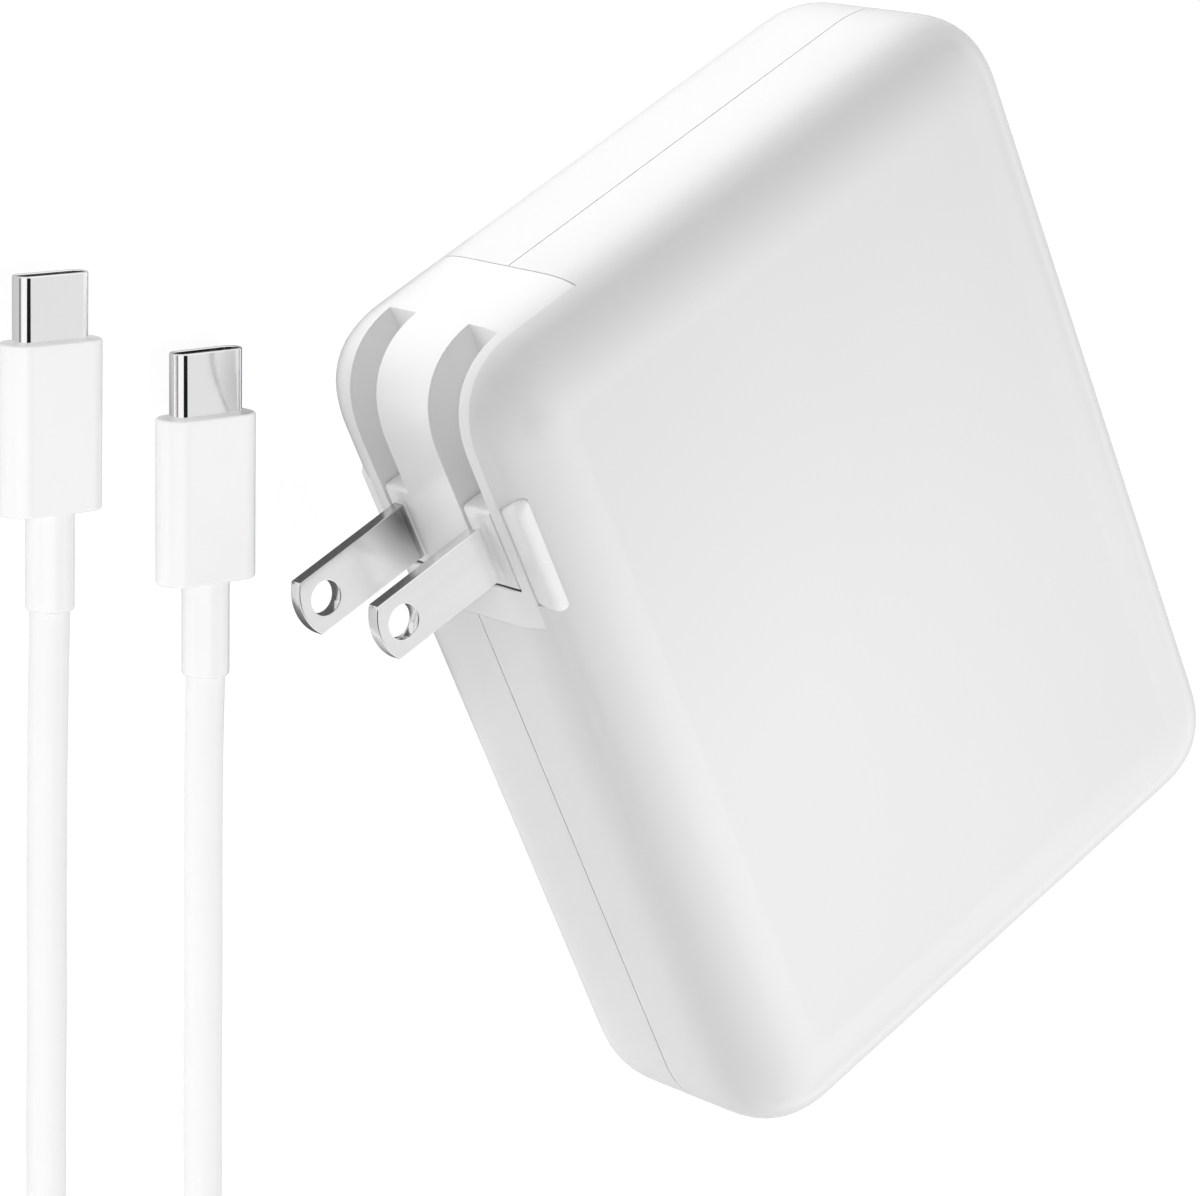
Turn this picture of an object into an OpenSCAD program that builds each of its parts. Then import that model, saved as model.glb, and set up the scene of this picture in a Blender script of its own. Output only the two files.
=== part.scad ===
// Laptop power adapter. A two-part case holds the converter. A plug module slides
// into one corner of it, with two prongs that fold on a carrier with thumb levers.
// A separate lead with a reversible plug at each end lies beside it, wound in a coil.
//
// Frame: the origin is the centre of the case's back face, +Z comes out of the front
// face, +Y runs up the long side to the plug module, and the prongs point to -X.

/* [Case] */
// Width of the case along X
case_w = 78; // [74:1:96]
// Length of the case along Y
case_l = 100; // [97:1:130]
// Thickness of the case along Z
case_t = 30; // [29.5:0.5:36]
// Radius of the four upright corners
corner_r = 8.8; // [8.2:0.2:11]
// Radius of the soft edge round the front face
front_r = 7.8; // [5:0.2:8]
// Radius of the soft edge round the back face
back_r = 6.8; // [4:0.2:7.6]
// Wall of both case halves
wall = 2; // [1.6:0.1:2.4]
// Width of the seams that show
seam = 0.15; // [0.1:0.01:0.3]
// Height of the lip that joins the case halves
lip_h = 1.4; // [1:0.1:2]
// Thickness of that lip
lip_t = 0.8; // [0.6:0.1:1.2]

/* [Plug module] */
// Width of the module, in from the left face
module_w = 18.8; // [18.6:0.1:20]
// Length of the module, down from the top face
module_l = 30.3; // [30.2:0.1:33]
// Thickness of the module between its sides
module_t = 20.4; // [20.2:0.1:20.8]
// Sliding gap at each side of the module
side_gap = 0.06; // [0.04:0.01:0.1]
// Outer skin of the module
skin = 1.8; // [1.4:0.1:2]
// Thickness of the module's back plate
plate_t = 2; // [1.6:0.1:2.4]
// How far the module slides until its nose is free
nose_l = 9; // [7:0.5:9]
// Length of the nose's figure-eight outline
nose_w = 14; // [13.6:0.1:14.6]
// Height of the nose
nose_h = 7.2; // [6.8:0.1:7.6]
// Distance of the nose's middle from the top face
nose_down = 11.5; // [11.2:0.1:12]

/* [Prongs] */
// Distance from blade to blade
prong_pitch = 12.7; // [12.6:0.05:12.8]
// Width of a blade
prong_w = 6.35; // [6.2:0.05:6.5]
// Thickness of a blade
prong_t = 1.5; // [1.4:0.05:1.6]
// Reach of a blade from the pivot to its tip
prong_reach = 20.7; // [20.3:0.1:21]
// Radius of the rounded tip
prong_tip_r = 5.2; // [4.6:0.1:7]
// Radius of the hole near the tip
prong_hole_r = 1.8; // [1.5:0.1:2]
// Distance of that hole from the tip
prong_hole_in = 3.1; // [2.8:0.1:4]
// Offset of the pair from the case's middle plane, towards the front
prong_shift = 0.5; // [0:0.1:0.6]
// Depth of the pivot under the left face
pivot_in = 5; // [4.8:0.1:5.2]
// Gap between a folded tip and the top face
tip_inset = 0.1; // [0:0.1:0.5]
// Width of the slot that a blade folds into
slot_w = 4.4; // [4.2:0.1:4.5]
// Space behind a folded blade
slot_back = 0.8; // [0.5:0.1:1.2]

/* [Prong carrier] */
// Depth of a hub's face under the left face
hub_inset = 0.2; // [0.1:0.05:0.4]
// Gap beside a hub in its slot
hub_gap = 0.15; // [0.1:0.05:0.2]
// Radius of a hub's edges
hub_r = 0.5; // [0.3:0.1:1.5]
// Radius of the axle
axle_r = 2.4; // [2.2:0.1:2.6]
// Running clearance round the axle
axle_fit = 0.06; // [0.03:0.01:0.1]
// Half width of the square cam that the detent spring presses
cam_half = 2.6; // [2.4:0.1:2.8]
// Thickness of a thumb lever
lever_t = 2.7; // [2.2:0.1:2.8]
// Depth of a lever's outer side under the left face
lever_in = 0.9; // [0.7:0.1:1.2]
// Length of a lever from the pivot down
lever_down = 7.7; // [7:0.1:7.8]
// Length of a lever from the pivot up
lever_up = 6; // [5.4:0.1:6.2]
// Radius of a lever's corners
lever_r = 1; // [0.8:0.1:1.4]
// Clearance round a lever
lever_gap = 0.1; // [0.08:0.01:0.2]

/* [Module contacts] */
// Thickness of the contact strips and springs
strip_t = 0.4; // [0.3:0.05:0.5]
// Width of a contact strip
strip_w = 2; // [1.6:0.1:2.4]
// Distance between the two inlet pins
pin_pitch = 8.6; // [8.4:0.1:8.8]
// Radius of an inlet pin
pin_r = 1.18; // [1.1:0.01:1.25]
// Clearance between pin and sleeve
pin_fit = 0.07; // [0.04:0.01:0.1]
// Wall of a sleeve
sleeve_t = 0.45; // [0.35:0.05:0.6]

/* [Lock stud] */
// Radius of the stud's neck
neck_r = 1.8; // [1.5:0.1:2]
// Radius of the stud's head
head_r = 3; // [2.8:0.1:3.2]
// Thickness of the stud's head
head_t = 1.5; // [1.2:0.1:1.6]
// Lip of the module that the head holds
keyway_lip = 1.8; // [1.5:0.1:1.8]
// Clearance round the stud in its keyway
keyway_gap = 0.22; // [0.15:0.01:0.3]
// Distance of the stud from the left face
stud_in = 10.5; // [9:0.5:12]

/* [Port] */
// Width of the output socket's mouth
port_w = 8.34; // [8.3:0.01:8.4]
// Height of the output socket's mouth
port_h = 2.56; // [2.5:0.01:2.6]
// Depth of the output socket
port_l = 7.3; // [6.8:0.1:8]
// Sheet thickness of the socket
port_t = 0.3; // [0.2:0.05:0.4]
// Depth of the socket's rim under the right face
port_inset = 0.3; // [0.1:0.1:0.6]
// Clearance of the socket in the case
port_fit = 0.1; // [0.05:0.05:0.2]
// Place of the socket along Y
port_y = 0; // [-8:1:8]

/* [Boards] */
// Thickness of the main board
board_t = 1.6; // [1.2:0.1:2]
// Height of the main board's underside over the case's inner back
board_up = 3.6; // [3.2:0.1:4]
// Space between the main board and the walls
board_gap = 0.6; // [0.4:0.1:1]
// Thickness of the output board
small_board_t = 0.8; // [0.6:0.1:1]
// Thickness of the heat spreaders
spreader_t = 0.8; // [0.6:0.1:1]
// Thickness of the soft thermal pads
pad_t = 0.8; // [0.5:0.1:1]

/* [Power parts] */
// Length of the transformer core
core_w = 30; // [26:1:30]
// Depth of the transformer core
core_d = 14; // [12:1:16]
// Length of the boost choke core
choke_w = 22; // [20:1:22]
// Depth of the boost choke core
choke_d = 12; // [10:1:14]
// Radius of a bulk capacitor
bulk_r = 8; // [7:0.5:8]
// Length of the fuse
fuse_l = 14; // [10:1:15]
// Radius of the fuse
fuse_r = 2.6; // [2:0.1:3]
// Radius of an output capacitor
can_r = 4; // [3:0.5:4.5]
// Height of an output capacitor
can_h = 12; // [8:1:14]

/* [Lead] */
// Width of a plug's metal shell
shell_w = 8.25; // [8.2:0.01:8.3]
// Height of a plug's metal shell
shell_h = 2.4; // [2.35:0.01:2.45]
// Length of a plug's metal shell
shell_l = 6.5; // [6.2:0.05:6.8]
// Sheet thickness of that shell
shell_t = 0.3; // [0.2:0.05:0.4]
// Width of a plug's cover
cover_w = 11; // [10:0.1:12]
// Height of a plug's cover
cover_h = 4.8; // [4.6:0.1:5.2]
// Length of a plug's cover
cover_l = 16.8; // [14:0.1:20]
// Radius of the cover's long edges
cover_r = 2.3; // [1.8:0.1:2.3]
// Radius of the strain relief
relief_r = 2.4; // [2.2:0.05:2.4]
// Length of the strain relief
relief_l = 9.7; // [8:0.1:14]
// Diameter of the cord
cord_d = 4; // [3.6:0.1:4.2]
// Distance between the coil's turns, and between its layers
coil_pitch = 4.5; // [4.5:0.1:5]
// Outer radius of the coil's path
coil_r = 30.4; // [30:0.2:32]
// Whole loops in the coil
coil_loops = 11; // [8:1:11]
// Thickness of a coil tie
tie_t = 0.6; // [0.5:0.1:0.8]
// Width of a coil tie
tie_w = 8; // [6:0.5:8]

/* [Hidden] */

$fn = 64;
// Overshoot of a cut past the face it opens
over = 1;

// Case faces, and the bay that takes the module
left_x = -case_w/2;
top_y = case_l/2;
mid_z = case_t/2;
bay_x = left_x + module_w;
bay_y = top_y - module_l;
bay_z0 = mid_z - module_t/2;
bay_z1 = mid_z + module_t/2;
board_z = wall + board_up;
deck_z = board_z + board_t;
roof_z = case_t - wall;

// Module body, a sliding gap smaller than its bay
mod_z0 = bay_z0 + side_gap;
mod_z1 = bay_z1 - side_gap;
mod_x1 = bay_x - seam;
mod_y0 = bay_y + seam;
plate_x = mod_x1 - plate_t;
nose_y = top_y - nose_down;

// Prongs and their slots
pivot_x = left_x + pivot_in;
pivot_y = top_y - prong_reach - tip_inset;
prong_z = [for (side = [-1, 1]) mid_z + prong_shift + side*prong_pitch/2];
slot_x = pivot_x + prong_w/2 + slot_back;
slot_wall = 1.2;
rib_t = 1;
hub_half = pivot_in - hub_inset;
hub_t = slot_w - 2*hub_gap;
hub_sweep = (hub_half - hub_r)*sqrt(2) + hub_r;
hub_room = hub_sweep + 0.2;
hub_window = hub_half + 0.1;
rib_x = slot_x + slot_wall;
inner_z0 = prong_z[0] - slot_w/2;
inner_z1 = prong_z[1] + slot_w/2;
band_z0 = prong_z[0] + slot_w/2 + rib_t;
band_z1 = prong_z[1] - slot_w/2 - rib_t;
tang_w = 2.4;
tang_out = hub_room - 0.2;
tang_root = hub_half - 1;

// Thumb levers, measured from the pivot
lever_out = pivot_in - lever_in;
lever_back = axle_r;
lever_z = [mod_z0 - lever_gap - lever_t, mod_z1 + lever_gap];
lever_sweep_up = norm([lever_out - lever_r, lever_up - lever_r]) + lever_r;
lever_sweep_down = norm([lever_back - lever_r, lever_down - lever_r]) + lever_r;

// Keyway for the stud, in the module's base
stud_root = 1.2;
stud_x = left_x + stud_in;
head_y = mod_y0 + keyway_lip + keyway_gap;
keyway_y = head_y + head_t + keyway_gap;
block_y = keyway_y + strip_t + 0.6;
rib_y = block_y + 0.1;

// Contacts: the strip stands just behind a blade's tang
strip_x = pivot_x + hub_room + 0.05;
sleeve_y = [nose_y - pin_pitch/2, nose_y + pin_pitch/2];
sleeve_r = pin_r + pin_fit + sleeve_t;
sleeve_x = plate_x + 0.8;
cam_r = 2;
spring_x = pivot_x + (cam_half - cam_r)*sqrt(2) + cam_r + 0.05;

// Well that takes the nose
well_fit = 0.15;
well_t = 1.6;
well_w = nose_w + 2*well_fit + 2*well_t;
well_h = nose_h + 2*well_fit + 2*well_t;
well_floor = 2;
nose_tip = mod_x1 + nose_l;
well_floor_x = nose_tip + 0.4;
pin_tail_x = well_floor_x + well_floor + 2;

// Places of the parts on the main board, from the bay, the board's edges and each other
board_w = case_w - 2*wall - 2*board_gap;
board_l = case_l - 2*wall - 2*board_gap;
board_r = corner_r - wall - board_gap;
right_x = board_w/2;
low_y = -board_l/2;
part_h = roof_z - spreader_t - pad_t - deck_z;
part_gap = 1;
core_gap = 0.4;
// Side of the square that a part leaves free in a rounded corner
corner_in = 0.3*board_r + lip_t;
// Share of a core's width that each winding window takes, and its middle leg
window_share = 0.22;
leg_share = 0.28;
switch_w = 10;
switch_t = 4.5;
fin_y = bay_y + 3;
fin_x = bay_x + wall + 2;
fin_w = 24;
fin_h = part_h - 3.2;
small_w = 9;
small_l = 24;
small_x = case_w/2 - wall - lip_t - board_gap - small_w/2;
choke_x = -board_w/2 + 2*part_gap + choke_w/2;
choke_y = bay_y - wall - stud_root - part_gap - choke_d/2 - window_share*choke_w;
core_x = small_x - small_w/2 - core_gap - core_w/2;
core_y = fin_y - switch_t - part_gap - core_d/2 - window_share*core_w;
bulk_x = [-board_w/2 + corner_in + bulk_r, -board_w/2 + corner_in + 3*bulk_r + part_gap];
bulk_y = low_y + corner_in;
bulk_l = min(core_y - core_d/2 - window_share*core_w, choke_y - choke_d/2 - window_share*choke_w)
    - part_gap - bulk_y;
ring_r = part_h/2 - 0.6;
ring_t = 8;
line_y = top_y - wall - 3 - ring_r;
fuse_x = pin_tail_x + 3 + fuse_r;
cap_w = 8;
cap_l = 17;
cap_h = part_h - 5.2;
cap_x = fuse_x + fuse_r + part_gap + cap_w/2;
ring_x = cap_x + cap_w/2 + part_gap + ring_t/2 + 1;
bridge_w = 4;
bridge_l = 20;
bridge_x = right_x - corner_in - bridge_w/2;
bridge_y = board_l/2 - corner_in - bridge_l/2;
can_x = [for (i = [0:2]) right_x - corner_in - can_r - i*(2*can_r + part_gap)];
can_y = low_y + corner_in + part_gap + can_r;

// Output socket and its board
port_x = case_w/2 - port_inset;
socket_h = port_h + 2*port_t;
small_z = mid_z - socket_h/2 - small_board_t;
post_r = 0.5;

// Heat spreaders lie on the flat inside of each face, clear of the bay's walls
flat_in = max(front_r, back_r) + 0.2;
spread_x = [left_x + flat_in, case_w/2 - flat_in];
spread_y = [-case_l/2 + flat_in, case_l/2 - flat_in];

// Lead. Its places are measured from the case's left face.
plug_pos = [[-37, 42.8], [-24.6, 26.3]];
plug_turn = [62.7, 63.3];
plug_z = cover_h/2;
cord_r = cord_d/2;
// Height of the coil's lowest turn, on its ties
coil_z = cord_r + tie_t + 0.1;
coil_pos = [-89, -62];
coil_from = 118;
coil_to = -11;
// Whole angle that the coil turns through, and its four layers
coil_angle = 360*coil_loops + 360 + coil_to - coil_from;
layers = 4;
layer_angle = coil_angle/layers;
ring_step = 15;
coil_top = coil_z + (layers - 1)*coil_pitch;
cord_sides = 8;
coil_sides = 6;

// Points on the coil: it spirals in and out and climbs where it reverses.
function fold(a) = let (n = floor(a/layer_angle), part = a - n*layer_angle)
    n % 2 == 0 ? part : layer_angle - part;
function ease(t) = let (u = min(1, max(0, t))) u*u*(3 - 2*u);
function climb(a) = let (turns = [for (k = [1:layers - 1]) ease((a - k*layer_angle)/180 + 0.5)])
    turns*[for (k = [1:layers - 1]) 1];
function coil_point(a) = let (r = coil_r - coil_pitch*fold(a)/360, turn = coil_from + a)
    [coil_pos[0] + r*cos(turn), coil_pos[1] + r*sin(turn), coil_z + coil_pitch*climb(a)];
coil_steps = round(coil_angle/ring_step);
coil_turns = [for (i = [0:coil_steps]) coil_point(coil_angle*i/coil_steps)];
// Each end runs straight for one cord diameter
coil_dir_in = [-sin(coil_from), cos(coil_from), 0];
coil_dir_out = [-sin(coil_to), cos(coil_to), 0];
coil_path = concat([coil_turns[0] - cord_d*coil_dir_in], coil_turns,
    [coil_turns[coil_steps] + cord_d*coil_dir_out]);

// Routes of the free stretches, from a plug's strain relief to the coil
run_a = concat([concat(plug_pos[0], plug_z)], [
    [-40.7, 35.7, 2.2], [-45.7, 26, 2], [-50.8, 16.2, 2], [-55.8, 6.4, 2], [-60.9, -3.3, 2],
    [-64.9, -11.1, 2], [-68.8, -17.6, 2], [-74.5, -21.9, 2.1], [-82.5, -26.1, 2.3],
    [-90.5, -30.3, 2.5]], [coil_path[0]]);
run_b = concat([concat(plug_pos[1], plug_z)], [
    [-28.4, 18.9, 2.2], [-33.3, 9, 2], [-38.2, -0.8, 2], [-43.2, -10.6, 2], [-48.1, -20.4, 2],
    [-51.6, -27.5, 2.2], [-54.6, -35.4, 4.2], [-56.3, -43.2, 7.9], [-57.6, -50.6, 12.2],
    [-58.4, -57, 15.3]], [coil_path[len(coil_path) - 1]]);

// Least distance between two turns of the coil, less the cord's own thickness
function turn_gap(path, apart) = min([for (i = [0:len(path) - 1])
    for (j = [i + apart:len(path) - 1]) norm(path[i] - path[j])]) - cord_d;
echo("least gap between the coil's turns, mm:", turn_gap(coil_turns, 180/ring_step));

// ---- Shared shapes ----

module rounded_rect(w, l, r) {
    square([w - 2*r, l], center = true);
    square([w, l - 2*r], center = true);
    for (sx = [-1, 1], sy = [-1, 1])
        translate([sx*(w/2 - r), sy*(l/2 - r)])
            circle(r);
}

// A box given by its low and high corners
module block(low, high) {
    translate(low)
        cube(high - low);
}

// Half outline of the case, out from a corner's centre, moved in by inset
module case_profile(inset) {
    r_out = corner_r - inset;
    front = front_r - inset;
    back = back_r - inset;
    translate([0, back_r])
        square([r_out, case_t - back_r - front_r]);
    translate([0, inset])
        square([r_out - back, case_t - 2*inset]);
    translate([corner_r - front_r, case_t - front_r])
        intersection() {
            circle(front);
            square(front);
        }
    translate([corner_r - back_r, back_r])
        intersection() {
            circle(back);
            translate([0, -back])
                square(back);
        }
}

module case_slice(inset, z0, z1) {
    intersection() {
        case_profile(inset);
        translate([0, z0])
            square([corner_r, z1 - z0]);
    }
}

// The case's outer form, or its cavity, between two heights
module case_form(inset, z0, z1) {
    side_x = case_w - 2*corner_r;
    side_y = case_l - 2*corner_r;
    low = max(z0, inset);
    high = min(z1, case_t - inset);
    translate([-side_x/2, -side_y/2, low])
        cube([side_x, side_y, high - low]);
    for (m = [0, 1])
        mirror([m, 0, 0]) {
            translate([side_x/2, side_y/2, 0])
                rotate([90, 0, 0])
                    linear_extrude(side_y)
                        case_slice(inset, z0, z1);
            for (n = [0, 1])
                mirror([0, n, 0])
                    translate([side_x/2, side_y/2, 0])
                        rotate_extrude(angle = 90)
                            case_slice(inset, z0, z1);
        }
    for (n = [0, 1])
        mirror([0, n, 0])
            translate([-side_x/2, side_y/2, 0])
                rotate([90, 0, 90])
                    linear_extrude(side_x)
                        case_slice(inset, z0, z1);
}

// The corner that the bay and its walls take up
module bay_block(grow) {
    block([left_x - over, bay_y - grow, -over], [bay_x + grow, top_y + over, case_t + over]);
}

module bay_space() {
    block([left_x - over, bay_y, bay_z0], [bay_x, top_y + over, bay_z1]);
}

module nose_outline(grow) {
    rounded_rect(nose_h + 2*grow, nose_w + 2*grow, nose_h/2 + grow - 0.01);
}

// Extrudes an outline drawn in Z, Y along +X
module along_x(x0, x1, y, z) {
    translate([x0, y, z])
        rotate([0, 90, 0])
            linear_extrude(x1 - x0)
                children();
}

module socket_outline(grow) {
    rounded_rect(port_h + 2*grow, port_w + 2*grow, port_h/2 + grow - 0.01);
}

// Room that a thumb lever sweeps, open through the left side
module lever_room(z0) {
    z1 = z0 + lever_t + lever_gap;
    low = z0 - lever_gap;
    back = lever_back + lever_gap;
    translate([pivot_x, pivot_y, 0]) {
        block([-pivot_in - over, -lever_down - lever_gap, low], [back, lever_up + lever_gap, z1]);
        translate([0, 0, low])
            cylinder(r = lever_sweep_up + lever_gap, h = z1 - low);
        intersection() {
            translate([0, 0, low])
                cylinder(r = lever_sweep_down + lever_gap, h = z1 - low);
            block([-20, -20, low], [back, 0, z1]);
        }
    }
}

module shell_cuts() {
    bay_space();
    for (z = lever_z)
        lever_room(z);
    along_x(bay_x - over, bay_x + wall + over, nose_y, mid_z)
        rounded_rect(well_h + 0.1, well_w + 0.1, 2);
    along_x(case_w/2 - wall - over, case_w/2 + over, port_y, mid_z)
        socket_outline(port_t + port_fit);
    translate([stud_x, bay_y - wall - over, mid_z])
        rotate([-90, 0, 0])
            cylinder(r = neck_r + 0.05, h = wall + 2*over);
}

module half_shell(z0, z1) {
    difference() {
        case_form(0, z0, z1);
        difference() {
            case_form(wall, z0 - over, z1 + over);
            bay_block(wall);
        }
        shell_cuts();
    }
}

// ---- Case ----

module front_shell() {
    color("white")
        half_shell(mid_z + seam/2, case_t);
}

// The back half carries the lip and the rests for the main board.
module back_shell() {
    rest_r = 2;
    lip_gap = 0.1;
    top = mid_z - seam/2;
    color("white") {
        half_shell(0, top);
        difference() {
            union() {
                case_ring(wall - 0.4, wall + lip_t, top - 2, top);
                case_ring(wall + lip_gap, wall + lip_t, top - 2, top + lip_h);
            }
            bay_block(wall + 2);
            block([bay_x, nose_y - well_w/2 - 0.3, 0], [well_floor_x + well_floor + 0.5, top_y, case_t]);
            block([case_w/2 - 2*wall - lip_t, port_y - port_w/2 - 1, 0],
                [case_w/2, port_y + port_w/2 + 1, case_t]);
        }
        for (p = rest_points())
            translate([p[0], p[1], wall - 0.4])
                cylinder(r = rest_r, h = board_z - wall + 0.4);
    }
}

// An upright ring that follows the case's straight walls
module case_ring(in0, in1, z0, z1) {
    translate([0, 0, z0])
        linear_extrude(z1 - z0)
            difference() {
                rounded_rect(case_w - 2*in0, case_l - 2*in0, corner_r - in0);
                rounded_rect(case_w - 2*in1, case_l - 2*in1, corner_r - in1);
            }
}

function rest_points() = [[spread_x[1] + 2.5, spread_y[1] - 8], [spread_x[1] + 2.5, spread_y[0] + 8],
    [spread_x[0] - 2.5, spread_y[0] + 8], [spread_x[0] - 2.5, bay_y - wall - 6],
    [bay_x + wall + 3, spread_y[1] + 2.5]];

// ---- Inlet and lock stud ----

module inlet_well() {
    color("dimgray")
        difference() {
            along_x(bay_x, well_floor_x + well_floor, nose_y, mid_z)
                rounded_rect(well_h, well_w, 2);
            along_x(bay_x - over, well_floor_x, nose_y, mid_z)
                nose_outline(well_fit);
            for (y = sleeve_y)
                along_x(well_floor_x - over, well_floor_x + well_floor + over, y, mid_z)
                    circle(pin_r);
        }
}

module inlet_pins() {
    tail_r = 0.6;
    color("silver")
        for (y = sleeve_y) {
            along_x(bay_x + 1, pin_tail_x, y, mid_z)
                circle(pin_r);
            translate([pin_tail_x - tail_r, y, deck_z])
                cylinder(r = tail_r, h = mid_z - deck_z);
        }
}

module lock_stud() {
    color("silver")
        translate([stud_x, 0, mid_z])
            rotate([-90, 0, 0]) {
                translate([0, 0, bay_y - wall - stud_root])
                    cylinder(r = head_r, h = stud_root);
                translate([0, 0, bay_y - wall - stud_root/2])
                    cylinder(r = neck_r, h = head_y - bay_y + wall + stud_root);
                translate([0, 0, head_y])
                    cylinder(r = head_r, h = head_t);
            }
}

// ---- Boards ----

module main_board() {
    color("darkgreen")
        translate([0, 0, board_z])
            linear_extrude(board_t)
                difference() {
                    rounded_rect(board_w, board_l, board_r);
                    translate([left_x, bay_y - wall - board_gap])
                        square([module_w + wall + board_gap, module_l + 2*wall]);
                }
}

module output_board() {
    color("darkgreen")
        block([small_x - small_w/2, port_y - small_l/2, small_z],
            [small_x + small_w/2, port_y + small_l/2, small_z + small_board_t]);
}

module board_pins() {
    color("gold")
        for (sx = [-1, 1], sy = [-1, 1])
            translate([small_x + sx*(small_w/2 - 1.5), port_y + sy*(small_l/2 - 1.5), deck_z])
                cylinder(r = post_r, h = small_z - deck_z);
}

module fuse() {
    color("beige")
        translate([fuse_x, line_y - fuse_l/2, deck_z + fuse_r])
            rotate([-90, 0, 0])
                cylinder(r = fuse_r, h = fuse_l);
}

// A block that stands on the main board
module deck_block(x, y, w, l, h) {
    block([x - w/2, y - l/2, deck_z], [x + w/2, y + l/2, deck_z + h]);
}

module line_capacitor() {
    color("gold")
        deck_block(cap_x, line_y, cap_w, cap_l, cap_h);
}

// The ring choke stands on edge on the board
module ring_sweep(angle, r0, r1, t) {
    translate([ring_x, line_y, deck_z + ring_r])
        rotate([angle, 0, 0])
            rotate([0, 90, 0])
                rotate_extrude(angle = 140)
                    translate([r0, -t/2])
                        square([r1 - r0, t]);
}

module line_choke_core() {
    winding = 0.8;
    color("dimgray")
        translate([ring_x, line_y, deck_z + ring_r])
            rotate([0, 90, 0])
                difference() {
                    cylinder(r = ring_r - winding, h = ring_t - 2*winding, center = true);
                    cylinder(r = ring_r/2 + winding, h = ring_t, center = true);
                }
}

module line_choke_coils() {
    gap = 0.1;
    winding = 0.8;
    color("chocolate")
        for (side = [20, 200])
            difference() {
                ring_sweep(side, ring_r/2, ring_r, ring_t);
                translate([ring_x, line_y, deck_z + ring_r])
                    rotate([0, 90, 0])
                        difference() {
                            cylinder(r = ring_r - winding + gap, h = ring_t - 2*winding + 2*gap,
                                center = true);
                            cylinder(r = ring_r/2 + winding - gap, h = ring_t, center = true);
                        }
            }
}

module bridge_rectifier() {
    color("black")
        deck_block(bridge_x, bridge_y, bridge_w, bridge_l, cap_h);
}

module bulk_capacitors() {
    color("darkslateblue")
        for (x = bulk_x)
            translate([x, bulk_y, deck_z + bulk_r])
                rotate([-90, 0, 0])
                    cylinder(r = bulk_r, h = bulk_l);
}

// A ferrite core with a window on each side of its middle leg
module ferrite(x, y, w, d) {
    leg = w*leg_share;
    window_w = w*window_share;
    yoke = part_h*0.18;
    color("dimgray")
        difference() {
            deck_block(x, y, w, d, part_h);
            for (side = [-1, 1])
                translate([x + side*(leg + window_w)/2 - window_w/2, y - d/2 - over, deck_z + yoke])
                    cube([window_w, d + 2*over, part_h - 2*yoke]);
        }
}

module ferrite_coil(x, y, w, d) {
    leg = w*leg_share;
    window_w = w*window_share;
    yoke = part_h*0.18;
    gap = 0.15;
    color("goldenrod")
        translate([x, y, deck_z + yoke + gap])
            linear_extrude(part_h - 2*yoke - 2*gap)
                difference() {
                    rounded_rect(leg + 2*window_w - 2*gap, d + 2*window_w - 2*gap, 2);
                    square([leg + 2*gap, d + 2*gap], center = true);
                }
}

module boost_choke_core() {
    ferrite(choke_x, choke_y, choke_w, choke_d);
}

module boost_choke_coil() {
    ferrite_coil(choke_x, choke_y, choke_w, choke_d);
}

module transformer_core() {
    ferrite(core_x, core_y, core_w, core_d);
}

module transformer_coil() {
    ferrite_coil(core_x, core_y, core_w, core_d);
}

module power_switches() {
    color("black")
        for (i = [0, 1])
            block([fin_x + 1 + i*(switch_w + 2), fin_y - switch_t, deck_z],
                [fin_x + 1 + i*(switch_w + 2) + switch_w, fin_y, deck_z + fin_h - 2]);
}

module heat_fin() {
    fin_t = 1.5;
    color("silver")
        block([fin_x, fin_y, deck_z], [fin_x + fin_w, fin_y + fin_t, deck_z + fin_h]);
}

module output_capacitors() {
    color("silver")
        for (x = can_x)
            translate([x, can_y, deck_z])
                cylinder(r = can_r, h = can_h);
}

// A plate that covers the flat inside of a face, cut out at the bay
module spreader(z) {
    color("silver")
        difference() {
            block([spread_x[0], spread_y[0], z], [spread_x[1], spread_y[1], z + spreader_t]);
            bay_block(wall + board_gap);
        }
}

module front_spreader() {
    spreader(roof_z - spreader_t);
}

module back_spreader() {
    spreader(wall);
}

module thermal_pads() {
    z = roof_z - spreader_t - pad_t;
    color("lightgray") {
        block([core_x - core_w/2, core_y - core_d/2, z], [core_x + core_w/2, core_y + core_d/2, z + pad_t]);
        block([max(choke_x - choke_w/2, spread_x[0]), choke_y - choke_d/2, z],
            [choke_x + choke_w/2, choke_y + choke_d/2, z + pad_t]);
    }
}

module port_shell() {
    color("silver")
        difference() {
            along_x(port_x - port_l, port_x, port_y, mid_z)
                socket_outline(port_t);
            along_x(port_x - port_l - over, port_x + over, port_y, mid_z)
                socket_outline(0);
        }
}

module port_tongue() {
    tongue_w = 6.7;
    tongue_h = 0.7;
    root_l = 2;
    fit = 0.02;
    color("black") {
        along_x(port_x - port_l, port_x - port_l + root_l, port_y, mid_z)
            socket_outline(-fit);
        block([port_x - port_l + root_l/2, port_y - tongue_w/2, mid_z - tongue_h/2],
            [port_x - 0.6, port_y + tongue_w/2, mid_z + tongue_h/2]);
    }
}

// ---- Plug module ----

// The module's outer form is the case's own corner, cut at the seams.
module module_form() {
    intersection() {
        case_form(0, mod_z0, mod_z1);
        block([left_x - over, mod_y0, mod_z0 - over], [mod_x1, top_y + over, mod_z1 + over]);
    }
}

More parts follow.
